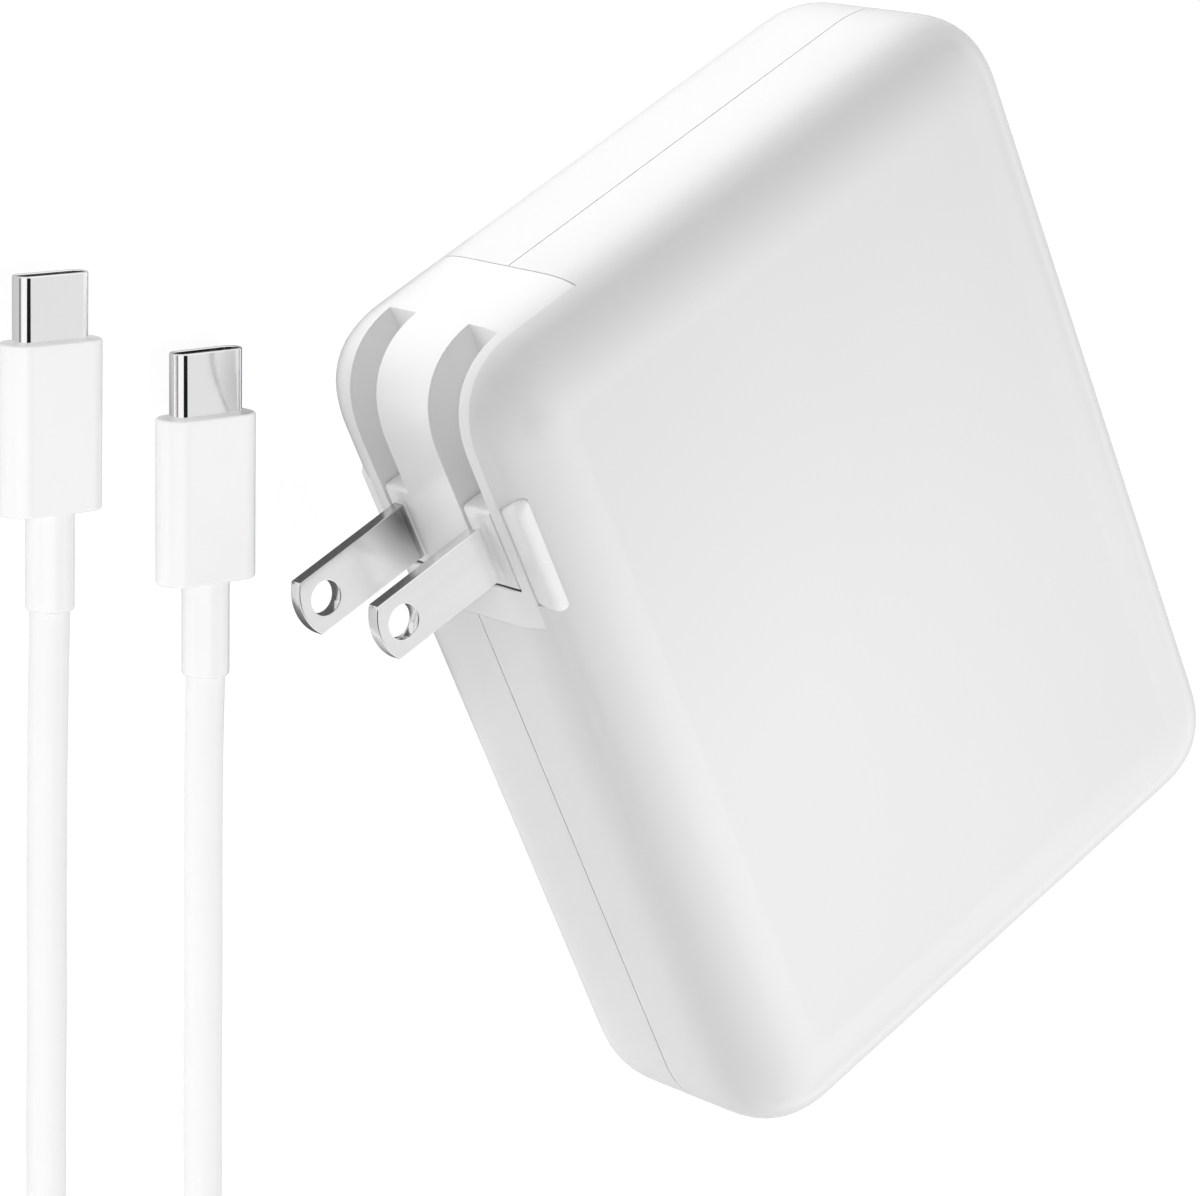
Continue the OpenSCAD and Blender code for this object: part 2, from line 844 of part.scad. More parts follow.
// The housing: skin, two slots that run round the corner, and bearings for the axle
module module_housing() {
    color("white")
        difference() {
            module_form();
            block([rib_x, mod_y0 - over, inner_z0], [mod_x1 + over, top_y - skin, inner_z1]);
            band_cavity();
            block([left_x + skin, mod_y0 - over, inner_z0], [rib_x + over, rib_y, inner_z1]);
            for (z = prong_z) {
                block([left_x - over, pivot_y - hub_window, z - slot_w/2],
                    [slot_x, top_y + over, z + slot_w/2]);
                block([slot_x - over, rib_y - over, z - slot_w/2],
                    [rib_x + over, pivot_y + hub_window, z + slot_w/2]);
                translate([pivot_x, pivot_y, z - slot_w/2])
                    cylinder(r = hub_room, h = slot_w);
            }
            axle_notch(mod_z0 - over, mod_z1 + over);
        }
}

// Hollow between the two slots, with the outer corner's rounding less the skin
module band_cavity() {
    intersection() {
        translate([0, 0, band_z0])
            linear_extrude(band_z1 - band_z0)
                rounded_rect(case_w - 2*skin, case_l - 2*skin, corner_r - skin);
        block([left_x, rib_y, band_z0 - over], [rib_x + over, top_y, band_z1 + over]);
    }
}

// The notch that the axle drops into, open to the back of the housing
module axle_notch(z0, z1) {
    notch_r = axle_r + axle_fit;
    translate([pivot_x, pivot_y, z0])
        cylinder(r = notch_r, h = z1 - z0);
    block([pivot_x, pivot_y - notch_r, z0], [mod_x1 + over, pivot_y + notch_r, z1]);
}

// The base closes the housing: back plate, nose, keyway block and axle keepers
module module_base() {
    fit = 0.05;
    block_x = left_x + skin + fit;
    keeper_r = axle_r + axle_fit;
    color("whitesmoke")
        difference() {
            union() {
                block([plate_x, mod_y0, inner_z0 + fit], [mod_x1, top_y - skin - fit, inner_z1 - fit]);
                block([plate_x, pivot_y - axle_r, mod_z0], [mod_x1, pivot_y + axle_r, mod_z1]);
                along_x(plate_x, nose_tip, nose_y, mid_z)
                    nose_outline(0);
                block([block_x, mod_y0, inner_z0 + fit], [plate_x + over, block_y, inner_z1 - fit]);
                for (z = [[mod_z0, inner_z0 - fit], [inner_z1 + fit, mod_z1]])
                    block([pivot_x + 0.5, pivot_y - axle_r, z[0]], [plate_x + over, pivot_y + axle_r, z[1]]);
            }
            for (z = prong_z)
                translate([pivot_x, pivot_y, z - slot_w/2 - fit])
                    cylinder(r = hub_room, h = slot_w + 2*fit);
            translate([pivot_x, pivot_y, mod_z0 - over])
                cylinder(r = keeper_r, h = module_t + 2*over);
            keyway();
            for (y = sleeve_y) {
                along_x(sleeve_x, nose_tip + over, y, mid_z)
                    circle(sleeve_r);
                along_x(plate_x - over, sleeve_x + over, y, mid_z)
                    circle(strip_w/2);
            }
        }
}

// T-shaped keyway, open at the back so that the stud leaves as the module slides off
module keyway() {
    neck = neck_r + keyway_gap;
    head = head_r + keyway_gap;
    translate([stud_x, 0, mid_z])
        rotate([-90, 0, 0]) {
            translate([0, 0, mod_y0 - over])
                cylinder(r = neck, h = keyway_lip + over + 0.1);
            translate([0, 0, mod_y0 + keyway_lip])
                cylinder(r = head, h = keyway_y + strip_t - mod_y0 - keyway_lip);
        }
    block([stud_x, mod_y0 - over, mid_z - neck], [mod_x1 + over, mod_y0 + keyway_lip + 0.1, mid_z + neck]);
    block([stud_x, mod_y0 + keyway_lip, mid_z - head], [mod_x1 + over, keyway_y + strip_t, mid_z + head]);
}

// Thin steel strip in the roof of the keyway that the stud's head rubs on
module stud_clip() {
    color("silver")
        block([stud_x, keyway_y, mid_z - strip_w], [plate_x, keyway_y + strip_t, mid_z + strip_w]);
}

// A contact runs from behind one blade to the sleeve that takes an inlet pin.
module contact(z, y) {
    pad_low = pivot_y - strip_w;
    cross_z0 = min(z - strip_w/2, mid_z - strip_w/2);
    cross_z1 = max(z + strip_w/2, mid_z + strip_w/2);
    color("gold") {
        block([strip_x, pad_low, z - strip_w/2], [strip_x + strip_t, y + strip_w/2, z + strip_w/2]);
        block([strip_x, y - strip_w/2, cross_z0], [strip_x + strip_t, y + strip_w/2, cross_z1]);
        along_x(strip_x + strip_t/2, sleeve_x + 0.5, y, mid_z)
            circle(strip_w/2 - 0.05);
        difference() {
            along_x(sleeve_x, nose_tip - 0.3, y, mid_z)
                circle(sleeve_r - 0.02);
            along_x(sleeve_x + 0.8, nose_tip + over, y, mid_z)
                circle(pin_r + pin_fit);
        }
    }
}

module contact_a() {
    contact(prong_z[0], sleeve_y[0]);
}

module contact_b() {
    contact(prong_z[1], sleeve_y[1]);
}

// A bent leaf on the back plate that presses the square cam
module detent_spring() {
    leaf_w = 3;
    half = cam_half + 0.6;
    color("silver") {
        block([spring_x, pivot_y - half, mid_z - leaf_w/2], [spring_x + strip_t, pivot_y + half, mid_z + leaf_w/2]);
        for (side = [-1, 1])
            block([spring_x, pivot_y + side*half - strip_t/2, mid_z - leaf_w/2],
                [plate_x, pivot_y + side*half + strip_t/2, mid_z + leaf_w/2]);
    }
}

// ---- Prongs ----

// One moulding: two hubs and a cam on an axle, with a thumb lever at each end
module prong_carrier() {
    cam_gap = 0.1;
    color("white")
        difference() {
            translate([pivot_x, pivot_y, 0]) {
                for (z = prong_z)
                    translate([0, 0, z - hub_t/2])
                        linear_extrude(hub_t)
                            rounded_rect(2*hub_half, 2*hub_half, hub_r);
                translate([0, 0, band_z0 + cam_gap])
                    linear_extrude(band_z1 - band_z0 - 2*cam_gap)
                        rounded_rect(2*cam_half, 2*cam_half, cam_r);
                translate([0, 0, lever_z[0] + lever_t/2])
                    cylinder(r = axle_r, h = lever_z[1] - lever_z[0]);
                for (z = lever_z)
                    translate([(lever_back - lever_out)/2, (lever_up - lever_down)/2, z])
                        linear_extrude(lever_t)
                            rounded_rect(lever_back + lever_out, lever_up + lever_down, lever_r);
            }
            for (z = prong_z)
                prong(z);
        }
}

// A flat blade: rounded tip, hole, and a narrow tang through the hub
module prong(z) {
    tip_x = prong_tip_r - prong_reach;
    hole_x = prong_hole_in - prong_reach;
    translate([pivot_x, pivot_y, z - prong_t/2])
        linear_extrude(prong_t)
            difference() {
                union() {
                    translate([tip_x, -prong_w/2])
                        square([-tang_root - tip_x, prong_w]);
                    intersection() {
                        translate([tip_x, 0])
                            circle(prong_tip_r);
                        translate([-prong_reach - over, -prong_w/2])
                            square([prong_reach + over + tip_x + 0.01, prong_w]);
                    }
                    translate([-tang_root - over, -tang_w/2])
                        square([tang_root + over + tang_out, tang_w]);
                }
                translate([hole_x, 0])
                    circle(prong_hole_r);
            }
}

module prong_back() {
    color("silver")
        prong(prong_z[0]);
}

module prong_front() {
    color("silver")
        prong(prong_z[1]);
}

// ---- Lead ----

// Everything of the lead is placed from the case's left face.
module lead_place() {
    translate([left_x, 0, 0])
        children();
}

// A plug's own frame: the cord's end is at x = 0 and the tip points to +X
module plug_place(n) {
    lead_place()
        translate([plug_pos[n][0], plug_pos[n][1], plug_z])
            rotate([0, 0, plug_turn[n]])
                children();
}

module shell_outline(inset) {
    rounded_rect(shell_h - 2*inset, shell_w - 2*inset, shell_h/2 - inset - 0.01);
}

module plug_shell(n) {
    x0 = relief_l + cover_l;
    color("silver")
        plug_place(n)
            difference() {
                along_x(x0, x0 + shell_l, 0, 0)
                    shell_outline(0);
                along_x(x0 - over, x0 + shell_l + over, 0, 0)
                    shell_outline(shell_t);
            }
}

// Liner inside the shell: a closed root and two walls that carry the contacts
module plug_insert(n) {
    x0 = relief_l + cover_l;
    root_l = 2;
    rim = 0.8;
    liner_t = 0.35;
    color("dimgray")
        plug_place(n)
            difference() {
                along_x(x0, x0 + shell_l - rim, 0, 0)
                    shell_outline(shell_t + 0.02);
                along_x(x0 + root_l, x0 + shell_l, 0, 0)
                    rounded_rect(shell_h - 2*shell_t - 2*liner_t, shell_w - 2*shell_t - 2*liner_t, 0.3);
            }
}

module plug_cover(n) {
    color("white")
        plug_place(n)
            along_x(relief_l, relief_l + cover_l, 0, 0)
                rounded_rect(cover_h, cover_w, cover_r);
}

module plug_relief(n) {
    color("white")
        plug_place(n)
            along_x(0, relief_l, 0, 0)
                circle(relief_r);
}

function unit(v) = v/norm(v);

// Direction of a path at a point, along the sum of its two neighbouring stretches
function path_dir(path, i) = i == 0 ? unit(path[1] - path[0])
    : i == len(path) - 1 ? unit(path[i] - path[i - 1])
    : unit(unit(path[i] - path[i - 1]) + unit(path[i + 1] - path[i]));

// One unbroken tube with triangular faces, a ring of sides at each point
module tube(path, r, sides) {
    last = len(path) - 1;
    points = [for (i = [0:last]) let (d = path_dir(path, i), side = unit(cross(d, [0, 0, 1])),
        up = cross(side, d)) for (k = [0:sides - 1])
            path[i] + r*(cos(360*k/sides)*up + sin(360*k/sides)*side)];
    walls = [for (i = [0:last - 1], k = [0:sides - 1]) let (a = i*sides + k,
        b = i*sides + (k + 1) % sides) each [[a, b, a + sides], [b, b + sides, a + sides]]];
    start = [for (k = [1:sides - 2]) [0, k + 1, k]];
    finish = [for (k = [1:sides - 2]) [last*sides, last*sides + k, last*sides + k + 1]];
    polyhedron(points, concat(start, walls, finish));
}

module cord_run(path) {
    color("white")
        lead_place()
            tube(path, cord_r, cord_sides);
}

module cord_coil() {
    color("white")
        lead_place()
            tube(coil_path, cord_r, coil_sides);
}

// Two flat straps round the turns; the coil lies on them
module cord_ties() {
    room = 0.4;
    turns_in = coil_r - coil_pitch*layer_angle/360 - cord_r;
    inner_r = sqrt(turns_in*turns_in - tie_w*tie_w/4) - room;
    outer_r = coil_r + cord_r + room;
    inner_h = coil_top + cord_r + room - tie_t;
    color("lightgray")
        lead_place()
            translate([coil_pos[0], coil_pos[1], 0])
                for (turn = [52, 232])
                    rotate([0, 0, turn])
                        translate([(inner_r + outer_r)/2, tie_w/2, tie_t + inner_h/2])
                            rotate([90, 0, 0])
                                linear_extrude(tie_w)
                                    difference() {
                                        rounded_rect(outer_r - inner_r + 2*tie_t, inner_h + 2*tie_t, 2);
                                        rounded_rect(outer_r - inner_r, inner_h, 1.4);
                                    }
}

front_shell();
back_shell();
inlet_well();
inlet_pins();
lock_stud();
main_board();
output_board();
board_pins();
fuse();
line_capacitor();
line_choke_core();
line_choke_coils();
bridge_rectifier();
bulk_capacitors();
boost_choke_core();
boost_choke_coil();
transformer_core();
transformer_coil();
power_switches();
heat_fin();
output_capacitors();
front_spreader();
back_spreader();
thermal_pads();
port_shell();
port_tongue();
module_housing();
module_base();
contact_a();
contact_b();
detent_spring();
stud_clip();
prong_carrier();
prong_back();
prong_front();
plug_shell(0);  // plug_a_shell
plug_insert(0);  // plug_a_insert
plug_cover(0);  // plug_a_cover
plug_relief(0);  // plug_a_relief
plug_shell(1);  // plug_b_shell
plug_insert(1);  // plug_b_insert
plug_cover(1);  // plug_b_cover
plug_relief(1);  // plug_b_relief
cord_run(run_a);  // cord_run_a
cord_coil();
cord_run(run_b);  // cord_run_b
cord_ties();
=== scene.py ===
import math

import bmesh
import bpy
from mathutils import Matrix, Vector
from mathutils.geometry import convex_hull_2d


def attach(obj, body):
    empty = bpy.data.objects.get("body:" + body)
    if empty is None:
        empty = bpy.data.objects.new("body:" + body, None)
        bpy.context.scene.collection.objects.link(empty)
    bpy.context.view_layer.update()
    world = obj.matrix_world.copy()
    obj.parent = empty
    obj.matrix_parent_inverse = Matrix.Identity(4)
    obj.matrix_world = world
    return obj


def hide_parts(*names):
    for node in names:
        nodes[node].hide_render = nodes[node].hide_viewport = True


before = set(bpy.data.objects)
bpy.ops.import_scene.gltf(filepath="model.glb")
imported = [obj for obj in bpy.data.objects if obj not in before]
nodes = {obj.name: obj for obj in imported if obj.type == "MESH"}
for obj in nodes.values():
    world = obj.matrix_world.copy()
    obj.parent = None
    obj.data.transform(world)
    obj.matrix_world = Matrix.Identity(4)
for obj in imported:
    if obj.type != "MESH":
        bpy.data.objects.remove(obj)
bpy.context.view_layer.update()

scene = bpy.context.scene
scene.view_settings.view_transform = "Standard"
mm = 0.001


# ---- Camera ----
# A long lens looks down on the adapter's front face from above its prong corner,
# with the long side running down and to the right.

camera_place = (-0.23734, 0.23386, 0.35334)
camera_aim = (-0.02471, 0.01203, 0.015)
# How far it is turned about its own line of sight, in degrees
camera_roll = 105.925
lens = bpy.data.cameras.new("camera")
lens.sensor_width = 36
lens.lens = 131.81
lens.clip_start = 0.01
lens.clip_end = 50
camera = bpy.data.objects.new("camera", lens)
level_sight = (Vector(camera_aim) - Vector(camera_place)).to_track_quat("-Z", "Y").to_matrix()
camera.matrix_world = Matrix.Translation(camera_place) @ (
    level_sight @ Matrix.Rotation(math.radians(camera_roll), 3, "Z")).to_4x4()
scene.collection.objects.link(camera)
scene.camera = camera


# ---- Table and studio light ----
# A plain white light table stands in a white room and glows evenly from below, so flats
# stay brighter than the edges round them. The soft boxes are out of sight. Cards that only
# gloss sees give the metal something dark to mirror.

table_half = 3.0
table_mesh = bpy.data.meshes.new("table")
table_mesh.from_pydata(
    [(x * table_half, y * table_half, 0) for x, y in ((-1, -1), (1, -1), (1, 1), (-1, 1))],
    [], [(0, 1, 2, 3)])
table = bpy.data.objects.new("table", table_mesh)
scene.collection.objects.link(table)


def seen_directly(tree):
    """A value that is 1 for what the eye, a gloss or a clear piece sees, and 0 otherwise."""
    path = tree.nodes.new("ShaderNodeLightPath")
    either = tree.nodes.new("ShaderNodeMath")
    either.operation = "MAXIMUM"
    any_of = tree.nodes.new("ShaderNodeMath")
    any_of.operation = "MAXIMUM"
    tree.links.new(path.outputs["Is Camera Ray"], either.inputs[0])
    tree.links.new(path.outputs["Is Glossy Ray"], either.inputs[1])
    tree.links.new(either.outputs[0], any_of.inputs[0])
    tree.links.new(path.outputs["Is Transmission Ray"], any_of.inputs[1])
    return any_of.outputs[0]


table_white = bpy.data.materials.new("table_white")
table_white.use_nodes = True
tree = table_white.node_tree
tree.nodes.clear()
matt = tree.nodes.new("ShaderNodeBsdfDiffuse")
matt.inputs["Color"].default_value = (0.8, 0.8, 0.8, 1)
underlight = tree.nodes.new("ShaderNodeEmission")
underlight.inputs["Strength"].default_value = 0.76
glass_top = tree.nodes.new("ShaderNodeAddShader")
shade = tree.nodes.new("ShaderNodeBsdfDiffuse")
shade.inputs["Color"].default_value = (0.2, 0.2, 0.2, 1)
glow = tree.nodes.new("ShaderNodeEmission")
glow.inputs["Strength"].default_value = 0.9
lit = tree.nodes.new("ShaderNodeAddShader")
pick = tree.nodes.new("ShaderNodeMixShader")
out = tree.nodes.new("ShaderNodeOutputMaterial")
tree.links.new(shade.outputs[0], lit.inputs[0])
tree.links.new(glow.outputs[0], lit.inputs[1])
tree.links.new(matt.outputs[0], glass_top.inputs[0])
tree.links.new(underlight.outputs[0], glass_top.inputs[1])
tree.links.new(seen_directly(tree), pick.inputs[0])
tree.links.new(glass_top.outputs[0], pick.inputs[1])
tree.links.new(lit.outputs[0], pick.inputs[2])
tree.links.new(pick.outputs[0], out.inputs[0])
table_mesh.materials.append(table_white)

room_level = 0.4
room = bpy.data.worlds.new("room")
scene.world = room
room.use_nodes = True
tree = room.node_tree
tree.nodes.clear()
around = tree.nodes.new("ShaderNodeBackground")
around.inputs["Strength"].default_value = room_level
behind = tree.nodes.new("ShaderNodeBackground")
behind.inputs["Strength"].default_value = 1
pick = tree.nodes.new("ShaderNodeMixShader")
out = tree.nodes.new("ShaderNodeOutputWorld")
for white in (around, behind):
    white.inputs["Color"].default_value = (1, 1, 1, 1)
tree.links.new(seen_directly(tree), pick.inputs[0])
tree.links.new(around.outputs[0], pick.inputs[1])
tree.links.new(behind.outputs[0], pick.inputs[2])
tree.links.new(pick.outputs[0], out.inputs[0])

# Each soft box: name, place, the point it faces, its width, its length and its power.
# One stands on the far side, one lies close over the front face, one lights the prongs'
# slots, one the lead, and the strip lies on the table past the adapter's short end.
soft_boxes = (
    ("far_box", (0.35, -0.6, 0.9), (0, 0, 0.02), 0.7, 0.7, 7.2),
    ("face_box", (-0.025, -0.012, 0.11), (-0.025, -0.012, 0.03), 0.04, 0.04, 0.011),
    ("slot_box", (-0.56, 0.56, 0.68), (-0.035, 0.03, 0.015), 0.3, 0.3, 1.5),
    ("lead_box", (-0.35, 0.1, 1.0), (-0.07, 0.0, 0.0), 0.5, 0.5, 6.8),
    ("strip_box", (0.0, 0.085, 0.0006), (0.0, 0.085, 1.0), 0.1, 0.06, 0.018),
)
for name, place, aim, width, length, power in soft_boxes:
    lamp = bpy.data.lights.new(name, "AREA")
    lamp.shape = "RECTANGLE"
    lamp.size = width
    lamp.size_y = length
    lamp.energy = power
    box = bpy.data.objects.new(name, lamp)
    box.location = place
    box.rotation_euler = (Vector(aim) - Vector(place)).to_track_quat("-Z", "Y").to_euler()
    box.visible_camera = False
    box.visible_glossy = False
    scene.collection.objects.link(box)
# Boxes that light only some pieces, or pass some over; the pieces join as they are made
lit_groups = {}
for name, state in (("far_box", "EXCLUDE"), ("face_box", "EXCLUDE"), ("strip_box", "EXCLUDE"),
        ("lead_box", "INCLUDE"), ("slot_box", "INCLUDE")):
    lit_groups[name] = (bpy.data.collections.new(name + "_group"), state)
    bpy.data.objects[name].light_linking.receiver_collection = lit_groups[name][0]


def lit_apart(piece, *boxes):
    """Adds a piece to the group of each box named."""
    for name in boxes:
        group, state = lit_groups[name]
        group.objects.link(piece)
        group.collection_objects[-1].light_linking.link_state = state


def dark_card(name, place, facing, size, turn, shade, soft, cover, seen_by="glossy"):
    """A dark card that only one kind of ray sees. It fades out over the soft share of its
    half width, and hides what lies behind it by cover."""
    mesh = bpy.data.meshes.new(name)
    w, h = size
    corners = [(x * w / 2, y * h / 2, 0) for x, y in ((-1, -1), (1, -1), (1, 1), (-1, 1))]
    mesh.from_pydata(corners, [], [(0, 1, 2, 3)])
    card = bpy.data.objects.new(name, mesh)
    card.location = place
    aim = (Vector(facing) - Vector(place)).to_track_quat("Z", "Y").to_matrix()
    card.rotation_euler = (aim @ Matrix.Rotation(math.radians(turn), 3, "Z")).to_euler()
    for sight in ("camera", "diffuse", "glossy", "transmission", "volume_scatter", "shadow"):
        setattr(card, "visible_" + sight, sight == seen_by)
    black = bpy.data.materials.new(name)
    black.use_nodes = True
    tree = black.node_tree
    tree.nodes.clear()
    dark = tree.nodes.new("ShaderNodeBsdfDiffuse")
    dark.inputs["Color"].default_value = (shade, shade, shade, 1)
    clear = tree.nodes.new("ShaderNodeBsdfTransparent")
    where = tree.nodes.new("ShaderNodeTexCoord")
    spread = tree.nodes.new("ShaderNodeMapping")
    spread.inputs["Scale"].default_value = (2 / w, 2 / h, 1)
    ball = tree.nodes.new("ShaderNodeTexGradient")
    ball.gradient_type = "SPHERICAL"
    edge = tree.nodes.new("ShaderNodeMapRange")
    edge.inputs["From Max"].default_value = soft
    edge.inputs["To Max"].default_value = cover
    fade = tree.nodes.new("ShaderNodeMixShader")
    out = tree.nodes.new("ShaderNodeOutputMaterial")
    tree.links.new(where.outputs["Object"], spread.inputs["Vector"])
    tree.links.new(spread.outputs[0], ball.inputs["Vector"])
    tree.links.new(ball.outputs["Fac"], edge.inputs["Value"])
    tree.links.new(edge.outputs[0], fade.inputs[0])
    tree.links.new(clear.outputs[0], fade.inputs[1])
    tree.links.new(dark.outputs[0], fade.inputs[2])
    tree.links.new(fade.outputs[0], out.inputs[0])
    mesh.materials.append(black)
    scene.collection.objects.link(card)


# Each card: name, place, the point it faces, size, turn, shade, soft share and cover
for card in (
        ("blade_card", (-0.037, 0.03, 0.0004), (-0.037, 0.03, 1), (0.066, 0.066), 0, 0.03, 0.35, 0.85),
        ("table_card", (-0.05, 0.0, 0.0003), (-0.05, 0.0, 1), (1.2, 1.2), 0, 0.03, 0.3, 0.42),
        ("side_card", (-0.42, 0.16, 0.06), (-0.06, 0.07, 0.06), (0.5, 0.2), 0, 0.05, 0.8, 0.55),
        ("high_card", (-0.044, -0.221, 0.96), (-0.055, 0.05, 0), (0.82, 0.42), 39, 0.01, 0.12, 1.0),
        ("flat_card", (0.455, -0.45, 0.98), (-0.05, 0.05, 0), (0.46, 0.46), 39, 0.01, 0.3, 0.2),
        # The root card floats just off the module's face round the blades' roots, where there is only shade,
        # so the blades mirror painted shade there
        ("root_card", (-0.0392, 0.03, 0.0115), (-1, 0.03, 0.0115), (0.017, 0.02), 0, 0.01, 1.0, 0.8)):
    dark_card(*card)
# A low ring of cards all round gives metal its dark parts from the other sides too
ring_cards, ring_reach, ring_height = 8, 0.9, 0.26
for k in range(ring_cards):
    way = math.radians(360 / ring_cards * (k + 0.5))
    dark_card(f"ring_card_{k}", (ring_reach * math.cos(way), ring_reach * math.sin(way), ring_height),
        (0, 0, 0.05), (0.46, 0.42), 0, 0.03, 0.7, 0.7)
# A pale one overhead does so for flats looked at from above
dark_card("overhead_card", (-0.05, 0.24, 1.1), (-0.05, 0.05, 0), (0.5, 0.5), 0, 0.03, 0.4, 0.4)
# A cloth beside the two far sides holds back the table's glow, which would bleach them
dark_card("far_cloth", (0.19, -0.15, 0.0002), (0.19, -0.15, 1), (0.48, 0.48), 0, 0.03, 0.15, 0.45,
    "diffuse")


# ---- Lead: the cord ----
# One length of round cord in a smooth white jacket, with a plug on each end. What is
# not laid out beside the adapter is wound in four layers, ready for storage.

# The case's left side, which the lead is placed from
left_x = -39.0
cord_d = 4.0
coil_pitch = 4.5
coil_r = 30.4
coil_at = (left_x - 89, -62)
coil_from, coil_to = 118, -11
coil_loops, coil_layers = 11, 4
coil_angle = 360 * coil_loops + 360 + coil_to - coil_from
layer_angle = coil_angle / coil_layers
# The cord climbs to the next layer over half a turn
climb_angle = 180
# The coil lies on its ties
tie_t, tie_gap = 0.6, 0.1
coil_low = cord_d / 2 + tie_t + tie_gap
turn_steps, route_step = 48, 2.5

run_a = [(-37, 42.8, 2.4), (-40.7, 35.7, 2.2), (-45.7, 26, 2), (-50.8, 16.2, 2),
    (-55.8, 6.4, 2), (-60.9, -3.3, 2), (-64.9, -11.1, 2), (-68.8, -17.6, 2),
    (-74.5, -21.9, 2.1), (-82.5, -26.1, 2.3), (-90.5, -30.3, 2.5)]
run_b = [(-24.6, 26.3, 2.4), (-28.4, 18.9, 2.2), (-33.3, 9, 2), (-38.2, -0.8, 2),
    (-43.2, -10.6, 2), (-48.1, -20.4, 2), (-51.6, -27.5, 2.2), (-54.6, -35.4, 4.2),
    (-56.3, -43.2, 7.9), (-57.6, -50.6, 12.2), (-58.4, -57, 15.3)]


def coil_point(angle):
    """The cord's middle after it has turned through angle: in, out and up."""
    layer = math.floor(angle / layer_angle)
    part = angle - layer * layer_angle
    fold = part if layer % 2 == 0 else layer_angle - part
    radius = coil_r - coil_pitch * fold / 360
    height = coil_low
    for k in range(1, coil_layers):
        step = min(1, max(0, (angle - k * layer_angle) / climb_angle + 0.5))
        height += coil_pitch * step * step * (3 - 2 * step)
    turn = math.radians(coil_from + angle)
    return Vector((coil_at[0] + radius * math.cos(turn), coil_at[1] + radius * math.sin(turn), height))


def smooth_route(points, step):
    """Points every step or so on a smooth curve through the given ones."""
    ends = [2 * points[0] - points[1]] + points + [2 * points[-1] - points[-2]]
    route = []
    for a, b, c, d in zip(ends, ends[1:], ends[2:], ends[3:]):
        count = max(2, round((c - b).length / step))
        for i in range(count):
            t = i / count
            route.append(0.5 * (2 * b + (c - a) * t + (2 * a - 5 * b + 4 * c - d) * t * t
                + (3 * b - a - 3 * c + d) * t ** 3))
    return route + [points[-1]]


coil_count = round(coil_angle / 360 * turn_steps)
coil = [coil_point(coil_angle * i / coil_count) for i in range(coil_count + 1)]
way_in = (coil[1] - coil[0]).normalized()
way_out = (coil[-1] - coil[-2]).normalized()
start_run = [Vector(p) + Vector((left_x, 0, 0)) for p in run_a] + [coil[0] - cord_d * way_in, coil[0]]
end_run = [coil[-1], coil[-1] + cord_d * way_out] + [
    Vector(p) + Vector((left_x, 0, 0)) for p in reversed(run_b)]
cord_route = smooth_route(start_run, route_step)[:-1] + coil + smooth_route(end_run, route_step)[1:]

cord_curve = bpy.data.curves.new("lead_cord", "CURVE")
cord_curve.dimensions = "3D"
cord_curve.bevel_depth = cord_d / 2 * mm
cord_curve.bevel_resolution = 5
cord_curve.use_fill_caps = True
line = cord_curve.splines.new("POLY")
line.points.add(len(cord_route) - 1)
for place, point in zip(line.points, cord_route):
    place.co = (*(point * mm), 1)
line.use_smooth = True
drawn_cord = bpy.data.objects.new("drawn_cord", cord_curve)
scene.collection.objects.link(drawn_cord)
bpy.context.view_layer.update()
lead_cord = bpy.data.objects.new("lead_cord",
    bpy.data.meshes.new_from_object(drawn_cord.evaluated_get(bpy.context.evaluated_depsgraph_get())))
bpy.data.objects.remove(drawn_cord)
scene.collection.objects.link(lead_cord)
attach(lead_cord, "case")
# Only its own box lights the lead
lead_boxes = ("lead_box", "far_box", "face_box", "strip_box")
lit_apart(lead_cord, *lead_boxes)
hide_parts("cord_run_a", "cord_coil", "cord_run_b")


